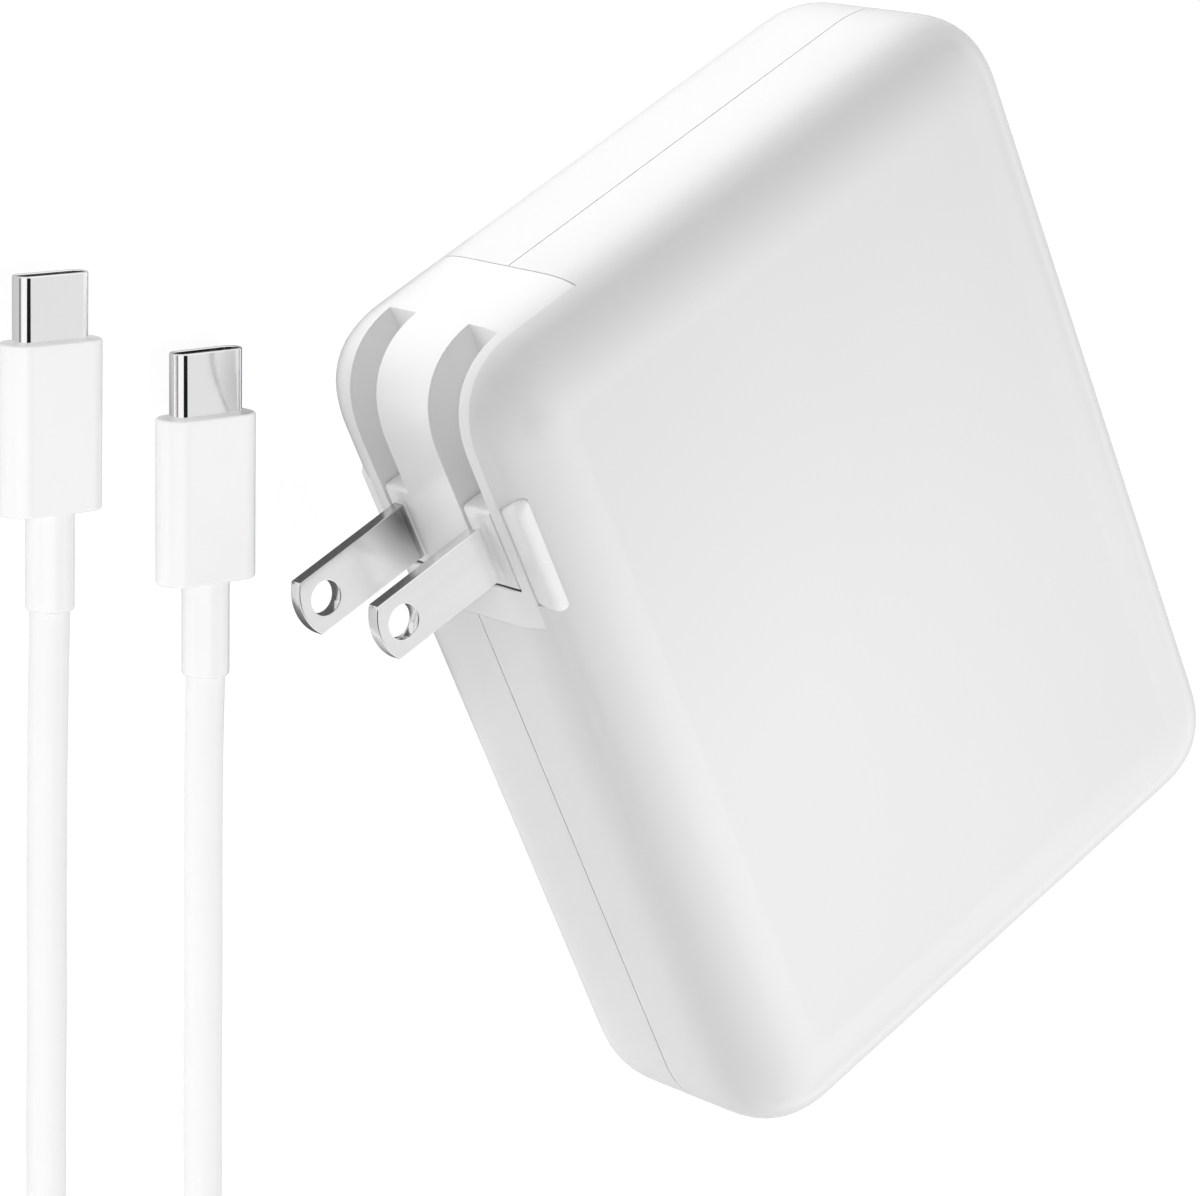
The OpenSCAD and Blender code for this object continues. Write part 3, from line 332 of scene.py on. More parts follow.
def grained(name, colour, other, rough, rough_other, metal=0.0, grain=400.0, relief=0.02,
        coat=0.0, stretch=(1, 1, 1), clouds=60.0):
    """A finish whose colour and gloss drift between two values, over a fine grain."""
    made = bpy.data.materials.new(name)
    made.use_nodes = True
    tree = made.node_tree
    face = tree.nodes["Principled BSDF"]
    where = tree.nodes.new("ShaderNodeTexCoord")
    along = tree.nodes.new("ShaderNodeMapping")
    along.inputs["Scale"].default_value = stretch
    tree.links.new(where.outputs["Object"], along.inputs["Vector"])
    drift = tree.nodes.new("ShaderNodeTexNoise")
    drift.inputs["Scale"].default_value = clouds
    drift.inputs["Detail"].default_value = 4
    fine = tree.nodes.new("ShaderNodeTexNoise")
    fine.inputs["Scale"].default_value = grain
    fine.inputs["Detail"].default_value = 3
    for noise in (drift, fine):
        tree.links.new(along.outputs[0], noise.inputs["Vector"])
    # Most of a noise lies between these two values
    least, most = 0.3, 0.7
    tint = tree.nodes.new("ShaderNodeValToRGB")
    tint.color_ramp.elements[0].position = least
    tint.color_ramp.elements[0].color = (*colour, 1)
    tint.color_ramp.elements[1].position = most
    tint.color_ramp.elements[1].color = (*other, 1)
    gloss = tree.nodes.new("ShaderNodeMapRange")
    gloss.inputs["From Min"].default_value = least
    gloss.inputs["From Max"].default_value = most
    gloss.inputs["To Min"].default_value = rough
    gloss.inputs["To Max"].default_value = rough_other
    bump = tree.nodes.new("ShaderNodeBump")
    bump.inputs["Strength"].default_value = relief
    bump.inputs["Distance"].default_value = 0.1 * mm
    tree.links.new(drift.outputs["Fac"], tint.inputs["Fac"])
    tree.links.new(tint.outputs["Color"], face.inputs["Base Color"])
    tree.links.new(fine.outputs["Fac"], gloss.inputs["Value"])
    tree.links.new(gloss.outputs["Result"], face.inputs["Roughness"])
    tree.links.new(fine.outputs["Fac"], bump.inputs["Height"])
    tree.links.new(bump.outputs["Normal"], face.inputs["Normal"])
    face.inputs["Metallic"].default_value = metal
    face.inputs["Coat Weight"].default_value = coat
    face.inputs["Coat Roughness"].default_value = 0.1
    return made


def dress(piece, finish):
    """Puts one finish all over a piece."""
    piece.data.materials.clear()
    piece.data.materials.append(finish)


jacket_white = grained("jacket_white", (0.90, 0.90, 0.90), (0.92, 0.92, 0.92), 0.42, 0.5, grain=900,
    relief=0.03)
dress(lead_cord, jacket_white)


# ---- Lead: the plugs ----
# Each plug is a seamless drawn shell of nickel-plated steel with a dark liner and two
# rows of gilt contacts, set in a moulded white cover with a round strain relief.

relief_l, relief_r, relief_edge, relief_sunk = 9.7, 2.4, 0.35, 0.5
cover_l, cover_w, cover_h, cover_r, cover_edge = 16.8, 11.0, 4.8, 2.3, 0.3
plug_l, plug_w, plug_h, plug_t, plug_edge, plug_sunk = 6.5, 8.25, 2.4, 0.3, 0.14, 1
contact_n, contact_pitch, contact_w, contact_t, contact_edge = 12, 0.5, 0.24, 0.08, 0.02
contact_in, contact_l, contact_up = 2.2, 3.1, 0.48
plug_rest = cover_h / 2
plug_at = [(-37, 42.8), (-24.6, 26.3)]
plug_turn = [62.7, 63.3]
# Faces that meet at less than this many degrees shade as one
crease = 35


def outline_ring(width, height, radius, steps=8):
    """Points round a rectangle with round corners, in the plane across a plug's length."""
    # A hair less keeps the points of two corners apart where they meet
    radius = min(radius, width / 2, height / 2) - 0.001
    ring = []
    for cx, cy, start in ((1, 1, 0), (-1, 1, 90), (-1, -1, 180), (1, -1, 270)):
        for i in range(steps + 1):
            a = math.radians(start + 90 * i / steps)
            ring.append((cx * (width / 2 - radius) + radius * math.cos(a),
                cy * (height / 2 - radius) + radius * math.sin(a)))
    return ring


def lofted(name, stations, holes=False):
    """A skin through rings of equal count. Each station is a distance along +X and a ring
    in Y and Z. The skin closes at both ends, or on itself for a hollow piece."""
    form = bmesh.new()
    rings = [[form.verts.new(Vector((x, y, z)) * mm) for y, z in ring] for x, ring in stations]
    pairs = list(zip(rings, rings[1:]))
    if holes:
        pairs.append((rings[-1], rings[0]))
    for a, b in pairs:
        for i in range(len(a)):
            j = (i + 1) % len(a)
            form.faces.new((a[i], a[j], b[j], b[i]))
    if not holes:
        form.faces.new(list(reversed(rings[0])))
        form.faces.new(rings[-1])
    return finished(name, form)


def finished(name, form, angle=crease):
    """Turns a worked form into a piece whose faces meet smoothly up to an angle."""
    bmesh.ops.recalc_face_normals(form, faces=form.faces)
    mesh = bpy.data.meshes.new(name)
    form.to_mesh(mesh)
    form.free()
    mesh.polygons.foreach_set("use_smooth", [True] * len(mesh.polygons))
    mesh.set_sharp_from_angle(angle=math.radians(angle))
    piece = bpy.data.objects.new(name, mesh)
    scene.collection.objects.link(piece)
    return piece


def levelled(piece):
    """Lets a piece's broad faces stay flat where they meet rounded edges."""
    level = piece.modifiers.new("level", "WEIGHTED_NORMAL")
    level.keep_sharp = True
    level.weight = 100
    return piece


def rounded_end(x, edge, outward, width, height, radius, steps=5):
    """Stations that round an end over by edge, from the side wall to the end face."""
    made = []
    for i in range(steps + 1):
        a = math.radians(90 * i / steps)
        inset = edge * (1 - math.cos(a))
        made.append((x - outward * edge * (1 - math.sin(a)),
            outline_ring(width - 2 * inset, height - 2 * inset, radius - inset)))
    return made


def at_plug(piece, n):
    """Moves a piece from a plug's own frame to where that plug lies."""
    place = Matrix.Translation(Vector((left_x + plug_at[n][0], plug_at[n][1], plug_rest)) * mm)
    piece.data.transform(place @ Matrix.Rotation(math.radians(plug_turn[n]), 4, "Z"))
    return piece


plug_white = grained("plug_white", (0.91, 0.91, 0.91), (0.93, 0.93, 0.93), 0.2, 0.26, grain=700,
    relief=0.015, coat=0.2)
plug_nickel = grained("plug_nickel", (0.92, 0.92, 0.915), (0.95, 0.95, 0.945), 0.05, 0.08, metal=1,
    grain=1500, relief=0.01, stretch=(1, 1, 4))
liner_dark = grained("liner_dark", (0.02, 0.02, 0.022), (0.03, 0.03, 0.032), 0.4, 0.5)
contact_gilt = grained("contact_gilt", (0.80, 0.56, 0.22), (0.86, 0.62, 0.28), 0.2, 0.3, metal=1)


def contact_rows(name, x, length, height):
    """Two rows of flat contacts, above and below a plug's or port's middle."""
    rows = bmesh.new()
    for i in range(contact_n):
        y = contact_pitch * (i - (contact_n - 1) / 2)
        for side in (-1, 1):
            block = bmesh.ops.create_cube(rows, size=1)["verts"]
            bmesh.ops.scale(rows, verts=block, vec=(length * mm, contact_w * mm, contact_t * mm))
            bmesh.ops.translate(rows, verts=block, vec=Vector((x + length / 2, y, side * height)) * mm)
    bmesh.ops.bevel(rows, geom=list(rows.edges), offset=contact_edge * mm, segments=1, affect="EDGES")
    return finished(name, rows, angle=25)


for n, letter in ((0, "a"), (1, "b")):
    x0 = relief_l + cover_l
    x1 = x0 + plug_l
    relief = lofted(f"plug_{letter}_strain_relief",
        list(reversed(rounded_end(0, relief_edge, -1, 2 * relief_r, 2 * relief_r, relief_r)))
        + [(relief_l + relief_sunk, outline_ring(2 * relief_r, 2 * relief_r, relief_r))])
    cover = lofted(f"plug_{letter}_moulded_cover",
        list(reversed(rounded_end(relief_l, cover_edge, -1, cover_w, cover_h, cover_r)))
        + rounded_end(x0, cover_edge, 1, cover_w, cover_h, cover_r))
    # The shell's rim is rounded outwards, then inwards as the same stations widen
    drawn = rounded_end(x1, plug_edge, 1, plug_w, plug_h, plug_h / 2)
    mouth_w, mouth_h = plug_w - 2 * plug_t, plug_h - 2 * plug_t
    lip = []
    for i, (x, _) in enumerate(drawn):
        flare = 2 * plug_edge * (1 - math.cos(math.radians(90 * i / (len(drawn) - 1))))
        lip.append((x, outline_ring(mouth_w + flare, mouth_h + flare, plug_h / 2)))
    tip = lofted(f"plug_{letter}_metal_tip",
        [(x0 - plug_sunk, outline_ring(plug_w, plug_h, plug_h / 2))] + drawn + list(reversed(lip))
        + [(x0 - plug_sunk, outline_ring(mouth_w, mouth_h, plug_h / 2))], holes=True)
    for piece, stood_for, finish, slot in (
            (relief, f"plug_{letter}_relief", plug_white, "plug_white"),
            (cover, f"plug_{letter}_cover", plug_white, "plug_white"),
            (tip, f"plug_{letter}_shell", plug_nickel, "nickel")):
        levelled(at_plug(piece, n))
        dress(piece, finish)
        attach(piece, "case")
        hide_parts(stood_for)
        if finish is plug_white:
            lit_apart(piece, *lead_boxes)
    dress(nodes[f"plug_{letter}_insert"], liner_dark)
    row = at_plug(contact_rows(f"plug_{letter}_contact_rows", x0 + contact_in, contact_l, contact_up), n)
    dress(row, contact_gilt)
    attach(row, "case")


# ---- Lead: the ties ----
# Two soft grey straps, woven and napped, are pulled round the wound cord. Each ends in
# a tail that presses flat on its own top. The coil rests on them.

tie_w, tie_room, tie_edge, tail_l = 8.0, 0.15, 0.2, 11.0
# How many points stand for the cord's round where a strap touches it
cord_sides = 36


def pulled_round(turn):
    """What a strap touches on one ray from the coil's middle: cord middles, and ways out."""
    ray = Vector((math.cos(math.radians(turn)), math.sin(math.radians(turn))))
    touched = []
    for point in coil:
        off = point.xy - Vector(coil_at)
        if off.dot(ray) > 0 and abs(ray.cross(off)) < tie_w / 2 + cord_d / 2:
            touched += [(Vector((off.dot(ray), point.z)), Vector((math.cos(a), math.sin(a))))
                for a in (math.radians(360 / cord_sides * i) for i in range(cord_sides))]
    inner = [middle + (cord_d / 2 + tie_room) * way for middle, way in touched]
    return [touched[i] for i in convex_hull_2d(inner)]


tie_grey = grained("tie_grey", (0.50, 0.50, 0.51), (0.60, 0.60, 0.61), 0.65, 0.8, grain=1800, relief=0.35)
for turn, letter in ((52, "a"), (232, "b")):
    touched = pulled_round(turn)
    near = cord_d / 2 + tie_room
    sections = [(-tie_w / 2 + tie_edge, 0), (-tie_w / 2, tie_edge), (-tie_w / 2, tie_t - tie_edge),
        (-tie_w / 2 + tie_edge, tie_t)]
    sections += [(-x, depth) for x, depth in reversed(sections)]
    strap = lofted(f"tie_{letter}_strap", [(x, [tuple(m + (near + depth) * w) for m, w in touched])
        for x, depth in sections], holes=True)
    top = max((m + (near + tie_t) * w).y for m, w in touched)
    inmost = min(m.x for m, w in touched)
    flap, slim = [[(inmost + tail_l / 2 + y, top + tie_t / 2 + z) for y, z in ring]
        for ring in (outline_ring(tail_l, tie_t, tie_edge),
            outline_ring(tail_l - 2 * tie_edge, tie_t - tie_edge, tie_edge / 2))]
    tail = lofted(f"tie_{letter}_tail", [(-tie_w / 2, slim), (-tie_w / 2 + tie_edge, flap),
        (tie_w / 2 - tie_edge, flap), (tie_w / 2, slim)])
    for piece in (strap, tail):
        piece.data.transform(Matrix.Translation(Vector((*coil_at, 0)) * mm)
            @ Matrix.Rotation(math.radians(turn - 90), 4, "Z"))
        dress(levelled(piece), tie_grey)
        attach(piece, "case")
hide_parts("cord_ties")


# ---- Boards and the parts on them ----
# Glass-fibre boards in green lacquer carry the parts of the converter: ferrite cores
# under yellow tape, capacitors in sleeves, and aluminium that spreads their heat.

board_green = grained("board_green", (0.02, 0.12, 0.06), (0.03, 0.16, 0.08), 0.25, 0.35, grain=500,
    relief=0.06)
ferrite_grey = grained("ferrite_grey", (0.05, 0.05, 0.055), (0.08, 0.08, 0.085), 0.55, 0.7, grain=600,
    relief=0.1)
copper_wire = grained("copper_wire", (0.62, 0.26, 0.10), (0.72, 0.34, 0.15), 0.25, 0.35, metal=1,
    grain=300, relief=0.4, stretch=(1, 1, 5))
tape_yellow = grained("tape_yellow", (0.75, 0.55, 0.12), (0.82, 0.62, 0.18), 0.25, 0.35, grain=200,
    relief=0.05)
sleeve_blue = grained("sleeve_blue", (0.03, 0.05, 0.12), (0.05, 0.07, 0.16), 0.25, 0.35)
film_yellow = grained("film_yellow", (0.72, 0.58, 0.10), (0.80, 0.66, 0.16), 0.3, 0.4)
fuse_glass = grained("fuse_glass", (0.62, 0.58, 0.48), (0.72, 0.68, 0.58), 0.2, 0.3)
black_epoxy = grained("black_epoxy", (0.02, 0.02, 0.02), (0.035, 0.035, 0.035), 0.45, 0.6, relief=0.15)
bare_aluminium = grained("bare_aluminium", (0.70, 0.71, 0.72), (0.80, 0.81, 0.82), 0.3, 0.45, metal=1,
    grain=250, relief=0.1, stretch=(1, 12, 1))
pad_grey = grained("pad_grey", (0.45, 0.47, 0.50), (0.52, 0.54, 0.57), 0.75, 0.9, grain=500, relief=0.3)
tin_silver = grained("tin_silver", (0.68, 0.68, 0.68), (0.76, 0.76, 0.75), 0.25, 0.38, metal=1)
for node, finish in (
        ("main_board", board_green), ("output_board", board_green), ("board_pins", tin_silver),
        ("fuse", fuse_glass), ("line_capacitor", film_yellow), ("line_choke_core", ferrite_grey),
        ("line_choke_coils", copper_wire), ("bridge_rectifier", black_epoxy),
        ("bulk_capacitors", sleeve_blue), ("boost_choke_core", ferrite_grey),
        ("boost_choke_coil", tape_yellow), ("transformer_core", ferrite_grey),
        ("transformer_coil", tape_yellow), ("power_switches", black_epoxy),
        ("heat_fin", bare_aluminium), ("output_capacitors", bare_aluminium),
        ("front_spreader", bare_aluminium), ("back_spreader", bare_aluminium),
        ("thermal_pads", pad_grey)):
    dress(nodes[node], finish)


# ---- Case: front and back halves ----
# Two deep shells of glossy white moulded plastic, welded along the middle of the
# sides. Their outer skin is one soft form whose corners and edges flow into the flats.

case_w, case_l, case_t = 78.0, 100.0, 30.0
wall, seam = 2.0, 0.15
mid_z = case_t / 2
right_x, top_y = case_w / 2, case_l / 2
corner_power, edge_power = 2.5, 2.6
corner_arc, front_arc, back_arc = 8.8, 7.8, 6.8


def flowing_reach(arc, power):
    """How far a flowing turn reaches to pass where the middle of a plain arc would."""
    return arc * (1 - 0.5 ** 0.5) / (1 - 0.5 ** (1 / power))


corner_reach = flowing_reach(corner_arc, corner_power)
front_reach = flowing_reach(front_arc, edge_power)
back_reach = flowing_reach(back_arc, edge_power)
# The bay that the plug module fills, and what stands out of it
module_w, module_l, module_t, side_gap = 18.8, 30.3, 20.4, 0.06
bay_x, bay_y = left_x + module_w, top_y - module_l
bay_z0, bay_z1 = mid_z - module_t / 2, mid_z + module_t / 2
nose_in, stud_in = 11.5, 10.5
nose_y, stud_x = top_y - nose_in, left_x + stud_in
pivot_x, pivot_y = -34.0, 29.2
lever_t, lever_gap, lever_down, lever_up, lever_out, lever_back = 2.7, 0.1, 7.7, 6.0, 4.1, 2.4
lever_z = (bay_z0 + side_gap - lever_gap - lever_t, bay_z1 - side_gap + lever_gap)
lever_r, bar_edge = 1.6, 0.9
lever_sweep_up = math.hypot(lever_out - lever_r, lever_up - lever_r) + lever_r
lever_sweep_down = math.hypot(lever_back - lever_r, lever_down - lever_r) + lever_r
# How far a cutter reaches past what it cuts
over = 1


def flowing(power, i, steps):
    """Point i on a flowing quarter turn of unit reach."""
    a = math.radians(90 * i / steps)
    return math.cos(a) ** (2 / power), math.sin(a) ** (2 / power)


def plan_ring(drawn_in, steps=16):
    """The case's outline in plan, drawn in evenly from its sides."""
    ring = []
    reach = corner_reach - drawn_in
    for k, (sx, sy) in enumerate(((1, 1), (-1, 1), (-1, -1), (1, -1))):
        for i in range(steps + 1):
            u, v = flowing(corner_power, i if k % 2 == 0 else steps - i, steps)
            ring.append((sx * (right_x - corner_reach + reach * u), sy * (top_y - corner_reach + reach * v)))
    return ring


def edge_inset(inset, z):
    """How far a flowing edge draws the sides in at one height."""
    for reach, depth in ((back_reach - inset, back_reach - z),
            (front_reach - inset, z - case_t + front_reach)):
        if depth > 0:
            return reach - max(0, reach ** edge_power - depth ** edge_power) ** (1 / edge_power)
    return 0


def case_solid(name, inset, z0, z1, steps=14):
    """The case's form, moved in by inset, between two heights."""
    low, high = max(z0, inset), min(z1, case_t - inset)
    levels = [low, high]
    for reach, base, way in ((back_reach, back_reach, -1), (front_reach, case_t - front_reach, 1)):
        levels += [base + way * (reach - inset) * flowing(edge_power, i, steps)[1] for i in range(steps)]
    levels = sorted(z for z in set(levels) if low <= z <= high)
    form = bmesh.new()
    rings = [[form.verts.new(Vector((x, y, z)) * mm) for x, y in plan_ring(inset + edge_inset(inset, z))]
        for z in levels]
    for a, b in zip(rings, rings[1:]):
        for i in range(len(a)):
            j = (i + 1) % len(a)
            form.faces.new((a[i], a[j], b[j], b[i]))
    form.faces.new(list(reversed(rings[0])))
    form.faces.new(rings[-1])
    return finished(name, form)


def slab(low, high):
    """A plain block between two corners, for carving."""
    form = bmesh.new()
    bmesh.ops.create_cube(form, size=1)
    low, high = Vector(low), Vector(high)
    for v in form.verts:
        v.co = Vector((low[k] + (v.co[k] + 0.5) * (high[k] - low[k])) for k in range(3)) * mm
    return finished("carver", form)


def plate(name, outline, z0, z1):
    """A flat plate: an outline in plan between two heights."""
    form = bmesh.new()
    bottom = [form.verts.new(Vector((x, y, z0)) * mm) for x, y in outline]
    top = [form.verts.new(Vector((x, y, z1)) * mm) for x, y in outline]
    form.faces.new(list(reversed(bottom)))
    form.faces.new(top)
    for i in range(len(outline)):
        j = (i + 1) % len(outline)
        form.faces.new((bottom[i], bottom[j], top[j], top[i]))
    return finished(name, form)


def circle(x, y, r, steps=64):
    """Points round a circle in plan."""
    return [(x + r * math.cos(2 * math.pi * i / steps), y + r * math.sin(2 * math.pi * i / steps))
        for i in range(steps)]


def turned_to_x(piece, x, y, z):
    """Lays a plate's height along +X, with its plan X down and its plan Y along Y."""
    piece.data.transform(Matrix.Translation(Vector((x, y, z)) * mm) @ Matrix.Rotation(math.pi / 2, 4, "Y"))
    return piece


def carved(piece, cutters, joined=(), kept=()):
    """Cuts solids out of a piece, joins others to it and keeps what lies in the rest."""
    for how, tools in (("UNION", joined), ("INTERSECT", kept), ("DIFFERENCE", cutters)):
        for tool in tools:
            step = piece.modifiers.new("carve", "BOOLEAN")
            step.operation = how
            step.solver = "EXACT"
            step.object = tool
    bpy.context.view_layer.update()
    made = bpy.data.meshes.new_from_object(piece.evaluated_get(bpy.context.evaluated_depsgraph_get()))
    piece.modifiers.clear()
    made.name = piece.name
    piece.data = made
    for tool in (*cutters, *joined, *kept):
        bpy.data.objects.remove(tool)
    return piece


def skin_value(x, y, z):
    """Zero on the case's outer skin, negative inside it, in millimetres."""
    qx, qy = max(abs(x) - right_x + corner_reach, 0), max(abs(y) - top_y + corner_reach, 0)
    across = (qx ** corner_power + qy ** corner_power) ** (1 / corner_power)
    reach, depth = (front_reach, z - case_t + front_reach) if z > mid_z else (back_reach, back_reach - z)
    side = max(across - corner_reach + reach, 0)
    return (side ** edge_power + max(depth, 0) ** edge_power) ** (1 / edge_power) - reach


def skin_normal(p):
    """The way out of the case's skin at a point near it."""
    h = 0.001
    return Vector((skin_value(p[0] + h, p[1], p[2]) - skin_value(p[0] - h, p[1], p[2]),
        skin_value(p[0], p[1] + h, p[2]) - skin_value(p[0], p[1] - h, p[2]),
        skin_value(p[0], p[1], p[2] + h) - skin_value(p[0], p[1], p[2] - h))).normalized()


# How near the skin a corner counts as on it, how squarely a face there looks outwards,
# and how large a face counts as a flat
skin_near, skin_facing, flat_area = 0.02, 0.9, 4


def shade_skin(piece):
    """Gives the outer skin its true direction at each corner, and keeps flats flat."""
    mesh = piece.data
    mesh.polygons.foreach_set("use_smooth", [True] * len(mesh.polygons))
    mesh.set_sharp_from_angle(angle=math.radians(crease))
    corners = [tuple(c.vector) for c in mesh.corner_normals]
    for face in mesh.polygons:
        middle = face.center / mm
        on_skin = all(abs(skin_value(*(mesh.vertices[v].co / mm))) < skin_near for v in face.vertices)
        if on_skin and skin_normal(middle).dot(face.normal) > skin_facing:
            for k, v in zip(face.loop_indices, face.vertices):
                corners[k] = tuple(skin_normal(mesh.vertices[v].co / mm))
        elif face.area > flat_area * mm * mm:
            for k in face.loop_indices:
                corners[k] = tuple(face.normal)
    mesh.normals_split_custom_set(corners)
    return piece


def rounded_plan(x0, y0, x1, y1, r, steps=8):
    """A rectangle in plan with round corners."""
    return [(x + (x0 + x1) / 2, y + (y0 + y1) / 2) for x, y in outline_ring(x1 - x0, y1 - y0, r, steps)]


def softened(piece, width, steps=3, chosen=None):
    """Rounds a piece's sharp edges, or those that chosen picks by their middle."""
    form = bmesh.new()
    form.from_mesh(piece.data)
    sharp = [e for e in form.edges if len(e.link_faces) == 2 and e.calc_face_angle() > math.radians(crease)
        and (chosen is None or chosen((e.verts[0].co + e.verts[1].co) / 2 / mm))]
    bmesh.ops.bevel(form, geom=sharp, offset=width * mm, segments=steps, affect="EDGES", profile=0.5,
        clamp_overlap=True)
    form.to_mesh(piece.data)
    form.free()
    mesh = piece.data
    mesh.polygons.foreach_set("use_smooth", [True] * len(mesh.polygons))
    mesh.set_sharp_from_angle(angle=math.radians(crease))
    return piece


# Heights as near as this count as the same
same_height = 0.01


def thumb_bar(name, z, outer):
    """A thumb bar with its outer side rounded over."""
    bar = plate(name, rounded_plan(pivot_x - lever_out, pivot_y - lever_down,
        pivot_x + lever_back, pivot_y + lever_up, lever_r), z, z + lever_t)
    return softened(bar, bar_edge, 5, lambda p: abs(p.z - (z + lever_t if outer > 0 else z)) < same_height)


# How far a room is open beside its bar. Then each step of its wall: from and to what
# depth, and how much nearer than the sweep.
room_open = 3
room_steps = ((-lever_gap, 2.06, 0.04), (2.06, 2.36, 0.1), (2.36, 2.56, 0.25), (2.56, lever_t + 0.01, 0.5))


def lever_rooms():
    """The rooms beside the bay that the thumb bars turn in. Each narrows at its outer side."""
    rooms = []
    for z, outer in zip(lever_z, (-1, 1)):
        rooms.append(thumb_bar("room", z, outer))
        rooms.append(slab((pivot_x - lever_out - room_open, pivot_y - lever_down + lever_r, z),
            (pivot_x - lever_out + bar_edge, pivot_y + lever_up - lever_r, z + lever_t)))
        inner = z if outer > 0 else z + lever_t
        for depth0, depth1, less in room_steps:
            low, high = sorted((inner + outer * depth0, inner + outer * depth1))
            upper = circle(pivot_x, pivot_y, lever_sweep_up + lever_gap - less)
            rooms.append(plate("room", upper, low, high))
            sweep = [(x, y) for x, y in circle(pivot_x, pivot_y, lever_sweep_down + lever_gap - less)
                if x < pivot_x + lever_back + lever_gap and y < pivot_y]
            sweep = sorted(sweep, key=lambda p: math.atan2(p[1] - pivot_y, p[0] - pivot_x))
            rooms.append(plate("room", sweep + [(pivot_x + lever_back + lever_gap, pivot_y)], low, high))
    return rooms


nose_w, nose_h, well_fit, well_t, well_gap, well_r = 14.0, 7.2, 0.15, 1.6, 0.1, 2
port_w, port_h, port_t, port_fit, port_inset = 8.34, 2.56, 0.3, 0.1, 0.3
stud_way_r = 1.85


def shell_cutters():
    """The bay for the plug module, the ways for nose and stud, and the port's mouth."""
    well_w, well_h = [size + 2 * well_fit + 2 * well_t + well_gap for size in (nose_w, nose_h)]
    grow = port_t + port_fit
    mouth_w, mouth_h = port_w + 2 * grow, port_h + 2 * grow
    cutters = [slab((left_x - over, bay_y, bay_z0), (bay_x, top_y + over, bay_z1))]
    cutters += lever_rooms()
    through = wall + 2 * over
    cutters.append(turned_to_x(plate("way", outline_ring(well_h, well_w, well_r), 0, through),
        bay_x - over, nose_y, mid_z))
    cutters.append(turned_to_x(plate("mouth", outline_ring(mouth_h, mouth_w, mouth_h / 2), 0, through),
        right_x - wall - over, 0, mid_z))
    stud_way = plate("way", circle(0, 0, stud_way_r), 0, through)
    stud_way.data.transform(Matrix.Translation(Vector((stud_x, bay_y + over, mid_z)) * mm)
        @ Matrix.Rotation(math.pi / 2, 4, "X"))
    cutters.append(stud_way)
    return cutters


def half_shell(name, z0, z1):
    """One half of the case, hollow beside the module's bay."""
    cavity = carved(case_solid("cavity", wall, z0 - over, z1 + over),
        [slab((left_x - over, bay_y - wall, -over), (bay_x + wall, top_y + over, case_t + over))])
    half = carved(case_solid(name, 0, z0, z1), [cavity])
    return shade_skin(carved(half, shell_cutters()))


case_white = grained("case_white", (0.86, 0.86, 0.86), (0.88, 0.88, 0.88), 0.2, 0.26, grain=700, relief=0.012,
    coat=0.15, clouds=25)
front_half = half_shell("front_half", mid_z + seam / 2, case_t)
back_half = half_shell("back_half", 0, mid_z - seam / 2)
for half, stood_for in ((front_half, "front_shell"), (back_half, "back_shell")):
    dress(half, case_white)
    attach(half, "case")
    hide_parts(stood_for)


# ---- Inlet and lock stud ----
# Behind the plug module sits a dark moulded well with two round nickel pins, and a
# headed steel stud that the module's keyway slides over.

well_dark = grained("well_dark", (0.05, 0.05, 0.052), (0.07, 0.07, 0.072), 0.4, 0.5)
dress(nodes["inlet_well"], well_dark)
dress(nodes["inlet_pins"], plug_nickel)
dress(nodes["lock_stud"], tin_silver)


# ---- Output port ----
# A drawn steel mouth with a dark tongue that carries gilt contacts on both sides,
# set flush in the middle of the long side opposite the prongs.

port_contact_in, port_contact_l, port_contact_up = 5.2, 4.2, 0.34
dress(nodes["port_shell"], plug_nickel)
dress(nodes["port_tongue"], liner_dark)
port_row = contact_rows("port_contact_rows", right_x - port_inset - port_contact_in, port_contact_l,
    port_contact_up)
port_row.data.transform(Matrix.Translation((0, 0, mid_z * mm)))
dress(port_row, contact_gilt)
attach(port_row, "case")


# ---- Plug module ----
# A white moulded corner block that slides off the adapter. Two slots run round the
# corner for the folded prongs; a base with the contacts closes it from behind.

module_white = grained("module_white", (0.86, 0.86, 0.86), (0.88, 0.88, 0.88), 0.2, 0.26, grain=700,
    relief=0.012, coat=0.15, clouds=25)
skin_t = 1.8
# The module's sides and foot fit so closely that their seams hardly show
mod_side_fit, mod_foot_fit = 0.01, 0.03
mod_z0, mod_z1 = bay_z0 + mod_side_fit, bay_z1 - mod_side_fit
mod_x1, mod_y0 = bay_x - seam, bay_y + mod_foot_fit
prong_w, prong_t, prong_reach, prong_tip_r, prong_hole_r, prong_hole_in = 6.35, 1.5, 20.7, 5.2, 1.8, 3.1
prong_pitch, prong_off = 12.7, 0.5
prong_z = [mid_z + prong_off + side * prong_pitch / 2 for side in (-1, 1)]
slot_w, slot_back, slot_wall, rib_t = 4.4, 0.8, 1.2, 1.0
slot_x = pivot_x + prong_w / 2 + slot_back
rib_x = slot_x + slot_wall
hub_half, hub_r, hub_gap, hub_play = 4.8, 0.5, 0.1, 0.2
hub_window = hub_half + hub_gap
hub_sweep = (hub_half - hub_r) * 2 ** 0.5 + hub_r
hub_room = hub_sweep + hub_play
inner_z0, inner_z1 = prong_z[0] - slot_w / 2, prong_z[1] + slot_w / 2
band_z0, band_z1 = prong_z[0] + slot_w / 2 + rib_t, prong_z[1] - slot_w / 2 - rib_t
axle_r, axle_fit = 2.4, 0.06
